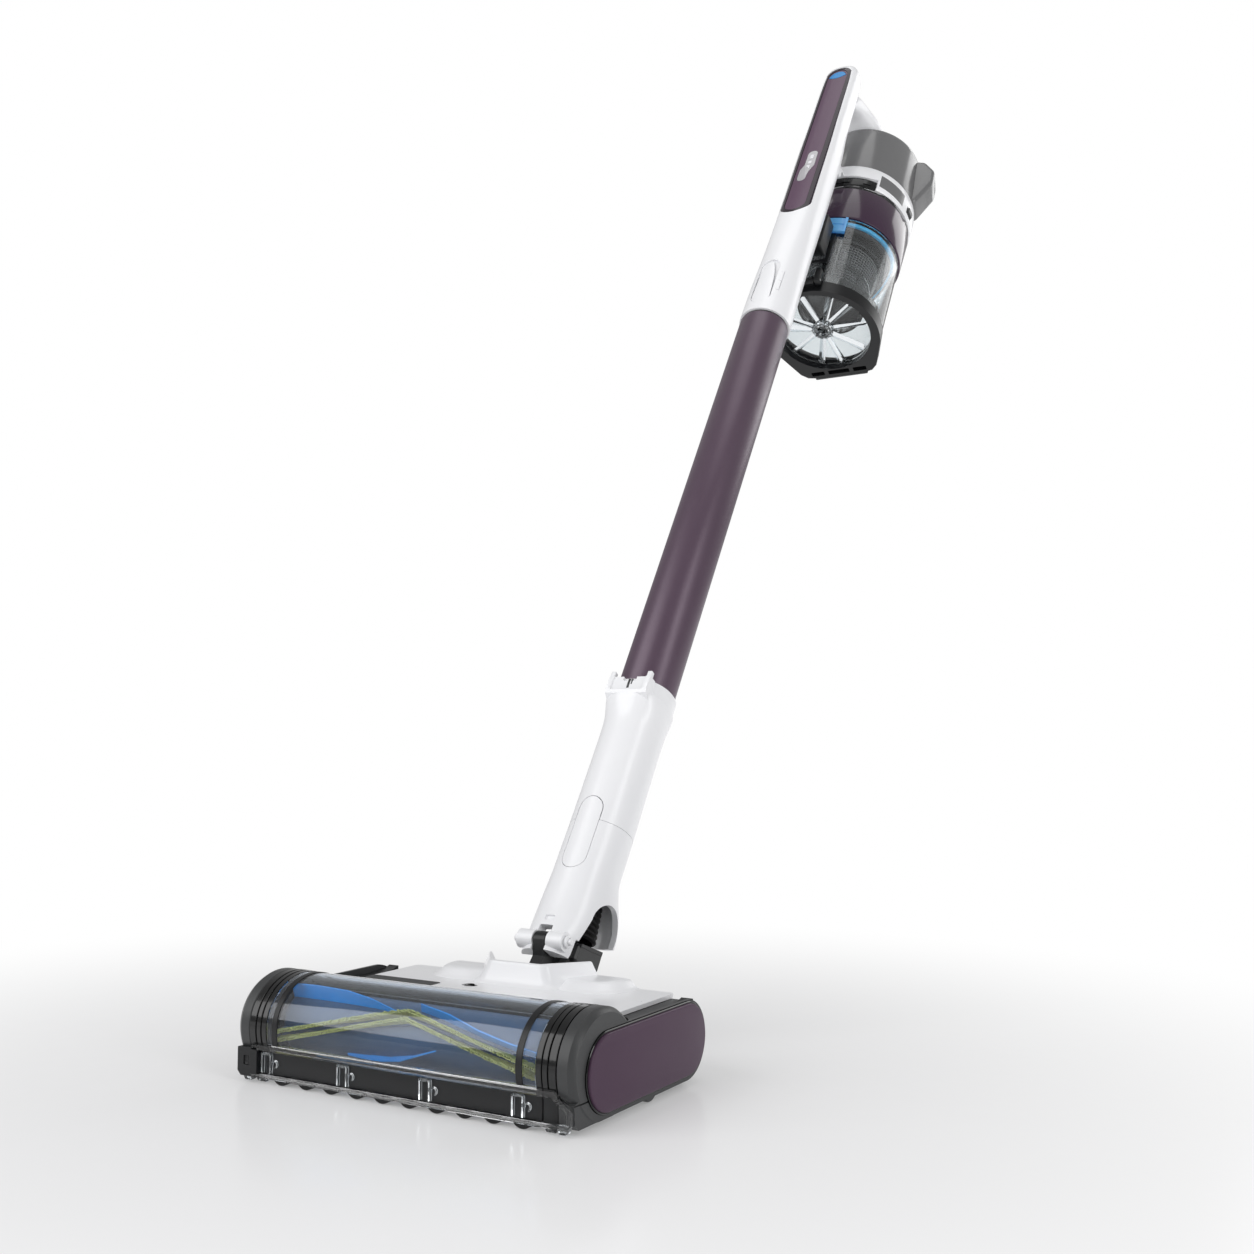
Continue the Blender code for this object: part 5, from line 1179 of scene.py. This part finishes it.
def buildEnds():
    for side, label in ((-1, "Left"), (1, "Right")):
        inner, outer = side * 0.1190, side * 0.1303
        hull = slab([(y, z) for y, z in stadiumSide(0.0125, 0.1618, 0.0038, 0.0544, 28)],
                    *sorted((inner, outer)), "X")
        dome = turned([(0, inner), (0.0350, inner), (0.0356, inner + side * 0.0006),
                       (0.0356, outer - side * 0.0040), (0.0338, outer - side * 0.0012),
                       (0.0322, outer), (0, outer)], (0, *brushAxis), "X", 128)
        flattened(dome)
        chin = slab([(0.0040, 0.0180), (0.0046, 0.0070), (0.0085, 0.0036), (0.0400, 0.0036),
                     (0.0400, 0.0300)], *sorted((inner, outer - side * 0.0006)), "X")
        shape = worked(hull, dome, chin, how="UNION")
        seat = slab(stadiumSide(0.0139, 0.1591, 0.0059, 0.0541, 32),
                    *sorted((side * 0.1290, side * 0.1400)), "X")
        trough = block((min(side * 0.1170, side * 0.1279), 0.0660, 0.0455),
                       (max(side * 0.1170, side * 0.1279), 0.1500, 0.0700))
        groove = block((min(side * 0.1290, side * 0.1400), 0.0000, 0.0172),
                       (max(side * 0.1290, side * 0.1400), 0.0210, 0.0181))
        shape = worked(shape, seat, trough, groove, block((-0.2, -0.1, -0.1), (0.2, 0.3, 0.0036)))
        makePiece(f"endHousing{label}", shape, headPlace, finishes["darkGrey"], "floor_head",
                  [f"end_housing_{label.lower()}"], 0.0007, 3, 30)
        near, far = sorted((side * 0.1188, side * 0.1278))
        makePiece(f"recessLiner{label}", slab([(0.0655, 0.0560), (0.0662, 0.0456), (0.1496, 0.0456),
                                               (0.1500, 0.0530), (0.1440, 0.0512), (0.1300, 0.0502),
                                               (0.0780, 0.0502), (0.0700, 0.0520)], near, far, "X"),
                  headPlace, finishes["black"], "floor_head", (), 0.0004, 2)
        # satin cap: flat face with a narrow eased edge, sitting in a dark rim
        loops = []
        for depth, inset in ((0.1291, 0.0004), (0.1318, 0.0004), (0.1324, 0.0006), (0.1328, 0.0010),
                             (0.1330, 0.0017)):
            loops.append([(side * depth, y, z) for y, z in stadiumSide(0.0150 + inset, 0.1580 - inset,
                                                                       0.0070 + inset, 0.0530 - inset, 40)])
        makePiece(f"endCap{label}", strung(loops), headPlace, finishes["capPlum"], "floor_head",
                  [f"end_cap_{label.lower()}"], sharp=25)
        rim = [[(side * depth, y, z) for y, z in stadiumSide(0.0150 - inset, 0.1580 + inset, 0.0070 - inset,
                                                             0.0530 + inset, 40)]
               for depth, inset in ((0.1291, -0.0001), (0.1291, 0.0008), (0.1310, 0.0008), (0.1314, 0.0004),
                                    (0.1314, -0.0001))]
        makePiece(f"capRim{label}", strung(rim, closed=True), headPlace, finishes["gloss"], "floor_head",
                  sharp=25)
        bump = partTurned([(0.0, side * 0.1200), (0.0088, side * 0.1200), (0.0095, side * 0.1206),
                           (0.0095, side * 0.1288), (0.0088, side * 0.1296), (0.0, side * 0.1296)],
                          (0, 0.0905, 0.0102), "X", 180, 360, 28)
        makePiece(f"sideSkid{label}", bump, headPlace, finishes["darkGrey"], "floor_head", (),
                  0.0004, 2)


def stadiumSide(lowY, highY, lowZ, highZ, steps):
    half, middle = (highZ - lowZ) / 2, (highZ + lowZ) / 2
    return arc((highY - half, middle), half, -90, 90, steps) + arc((lowY + half, middle), half, 90, 270,
                                                                   steps)


def buildBrush():
    brush = dict(core=0.0200, tip=0.0289, apex=134.0, rate=500.0)

    def blade(stations, turn):
        # root and tip of a flexible fin at each station, as place along the brush and degrees round it
        loops = []
        for rootX, rootTurn, tipX, tipTurn, tip in stations:
            loops.append([roundBrush(rootX, brush["core"] - 0.0006, rootTurn + turn - 1.4),
                          roundBrush(tipX, tip, tipTurn + turn - 0.7),
                          roundBrush(tipX, tip, tipTurn + turn + 0.7),
                          roundBrush(rootX, brush["core"] - 0.0006, rootTurn + turn + 1.4)])
        return strung(loops)

    drum = turned([(0.0042, -0.1040), (0.0190, -0.1040), (0.0198, -0.1030), (0.0200, -0.1015),
                   (0.0200, 0.1015), (0.0198, 0.1030), (0.0190, 0.1040),
                   (0.0042, 0.1040)], (0, *brushAxis), "X", 96)
    makePiece("brushSleeve", drum, headPlace, finishes["slate"], "brush", ["brush_sleeve"])
    core = turned([(0, -0.1130), (0.0034, -0.1130), (0.0038, -0.1126), (0.0038, 0.1174), (0.0034, 0.1178),
                   (0, 0.1178)], (0, *brushAxis), "X", 48)
    makePiece("brushDrum", core, headPlace, finishes["steel"], "brush", ["brush_drum"])
    discs = [turned([(0.0040, x), (0.0225, x), (0.0230, x + 0.0004), (0.0230, x + 0.0016),
                     (0.0225, x + 0.0020), (0.0040, x + 0.0020)], (0, *brushAxis), "X", 72)
             for x in (-0.1062, 0.1042)]
    makePiece("brushDiscs", merged(*discs), headPlace, finishes["black"], "brush", (), 0.0002, 2)
    leftFin = [(-0.1035, 121, -0.1035, 117, 0.0289), (-0.080, 121, -0.080, 116, 0.0289),
               (-0.055, 122, -0.055, 117, 0.0284), (-0.035, 124, -0.035, 121, 0.0262),
               (-0.0140, 128, -0.0140, 128, 0.0212)]
    rightFin = [(0.0020, 117, 0.0020, 114, 0.0246), (0.030, 135, 0.030, 131, 0.0268),
                (0.056, 153, 0.056, 148, 0.0280), (0.080, 166, 0.080, 158, 0.0287),
                (0.1035, 177, 0.1035, 165, 0.0289)]
    lowFin = [(-0.0520, 219, -0.0510, 218, 0.0213), (-0.0330, 216, -0.0250, 211, 0.0252),
              (-0.0160, 213, -0.0010, 199, 0.0280), (-0.0060, 211, 0.0150, 187, 0.0288),
              (-0.0010, 209, 0.0290, 178, 0.0289)]
    fins = [blade(stations, turn) for stations in (leftFin, rightFin, lowFin) for turn in (0, 180)]
    makePiece("brushFins", merged(*fins), headPlace, finishes["fin"], "brush", (), sharp=40)

    # bristles: short leaning slats in double rows that bend at the middle of the brush
    roll = Random(4)
    tufts, ridges = [], []
    for turn in (0, 180):
        for row in (0.0, 11.5):
            for i in range(-104, 105):
                x = i * 0.001
                at = brush["apex"] + row + turn + brush["rate"] * abs(x)
                for k in range(2):
                    lean, top = roll.uniform(-0.0004, 0.0004), brush["tip"] - 0.0004 - roll.uniform(0, 0.0012)
                    side = (k - 0.5) * 2.6 + roll.uniform(-0.5, 0.5)
                    wide = 1.25
                    loops = [[roundBrush(x - 0.0005, brush["core"], at + side - wide),
                              roundBrush(x + 0.0005, brush["core"], at + side - wide),
                              roundBrush(x + 0.0005, brush["core"], at + side + wide),
                              roundBrush(x - 0.0005, brush["core"], at + side + wide)],
                             [roundBrush(x + lean - 0.0004, top, at + side - 0.8),
                              roundBrush(x + lean + 0.0004, top, at + side - 0.8),
                              roundBrush(x + lean + 0.0004, top, at + side + 0.8),
                              roundBrush(x + lean - 0.0004, top, at + side + 0.8)]]
                    tufts.append(strung(loops))
            ridges.append(strung([[roundBrush(x, brush["core"] - 0.0008, at - 3.6),
                                   roundBrush(x, brush["core"] + 0.0026, at - 2.9),
                                   roundBrush(x, brush["core"] + 0.0026, at + 2.9),
                                   roundBrush(x, brush["core"] - 0.0008, at + 3.6)]
                                  for x, at in ((j * 0.01038,
                                                 brush["apex"] + row + turn
                                                 + brush["rate"] * abs(j * 0.01038))
                                                for j in range(-10, 11))]))
    makePiece("brushBristles", merged(*tufts), headPlace, finishes["bristle"], "brush", (), sharp=30)
    makePiece("bristleRoots", merged(*ridges), headPlace, finishes["slate"], "brush", (), 0.0003, 2)


def buildRollers():
    for side, label in ((-1, "left"), (1, "right")):
        near, far = side * 0.0942, side * 0.1058
        tread = [(0.0024, near), (0.0080, near), (0.0086, near + side * 0.0006),
                 (0.0093, near + side * 0.0016)]
        for i in range(4):
            start = near + side * (0.0020 + 0.0020 * i)
            tread += [(0.0093, start), (0.0093, start + side * 0.0012), (0.0088, start + side * 0.0014),
                      (0.0088, start + side * 0.0018)]
        tread += [(0.0093, far - side * 0.0016), (0.0086, far - side * 0.0006), (0.0080, far), (0.0024, far)]
        wheel = turned(tread, (0, 0.0930, 0.0095), "X", 64)
        makePiece(f"wheel{label.title()}", wheel, headPlace, finishes["darkGrey"], f"wheel_{label}",
                  [f"wheel_{label}"], sharp=25)
        near, far = side * 0.1087, side * 0.1158
        roller = turned([(0, near), (0.0030, near), (0.0041, near + side * 0.0010),
                         (0.0041, near + side * 0.0026), (0.0036, near + side * 0.0030),
                         (0.0036, far - side * 0.0030), (0.0041, far - side * 0.0026),
                         (0.0041, far - side * 0.0010), (0.0030, far), (0, far)], (0, 0.0085, 0.0043), "X",
                        48)
        makePiece(f"frontRoller{label.title()}", roller, headPlace, finishes["star"], f"roller_{label}",
                  [f"front_roller_{label}"], sharp=30)


buildDeck()
buildWindow()
buildFront()
buildSole()
buildEnds()
print("head shells built")
buildBrush()
buildRollers()
print("brush and rollers built")

# finishes for the parts that stay as they are, mostly hidden inside
for nodes, finish in ((("suction_motor", "brush_motor"), "can"),
                      (("exhaust_filter", "pre_motor_filter"), "foam"),
                      (("suction_fan", "motor_pinion"), "steel"),
                      (("drive_belt",), "rubber"), (("head_chassis", "brush_pulley"), "black")):
    for node in nodes:
        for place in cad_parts[node].material_slots:
            place.material = finishes[finish]
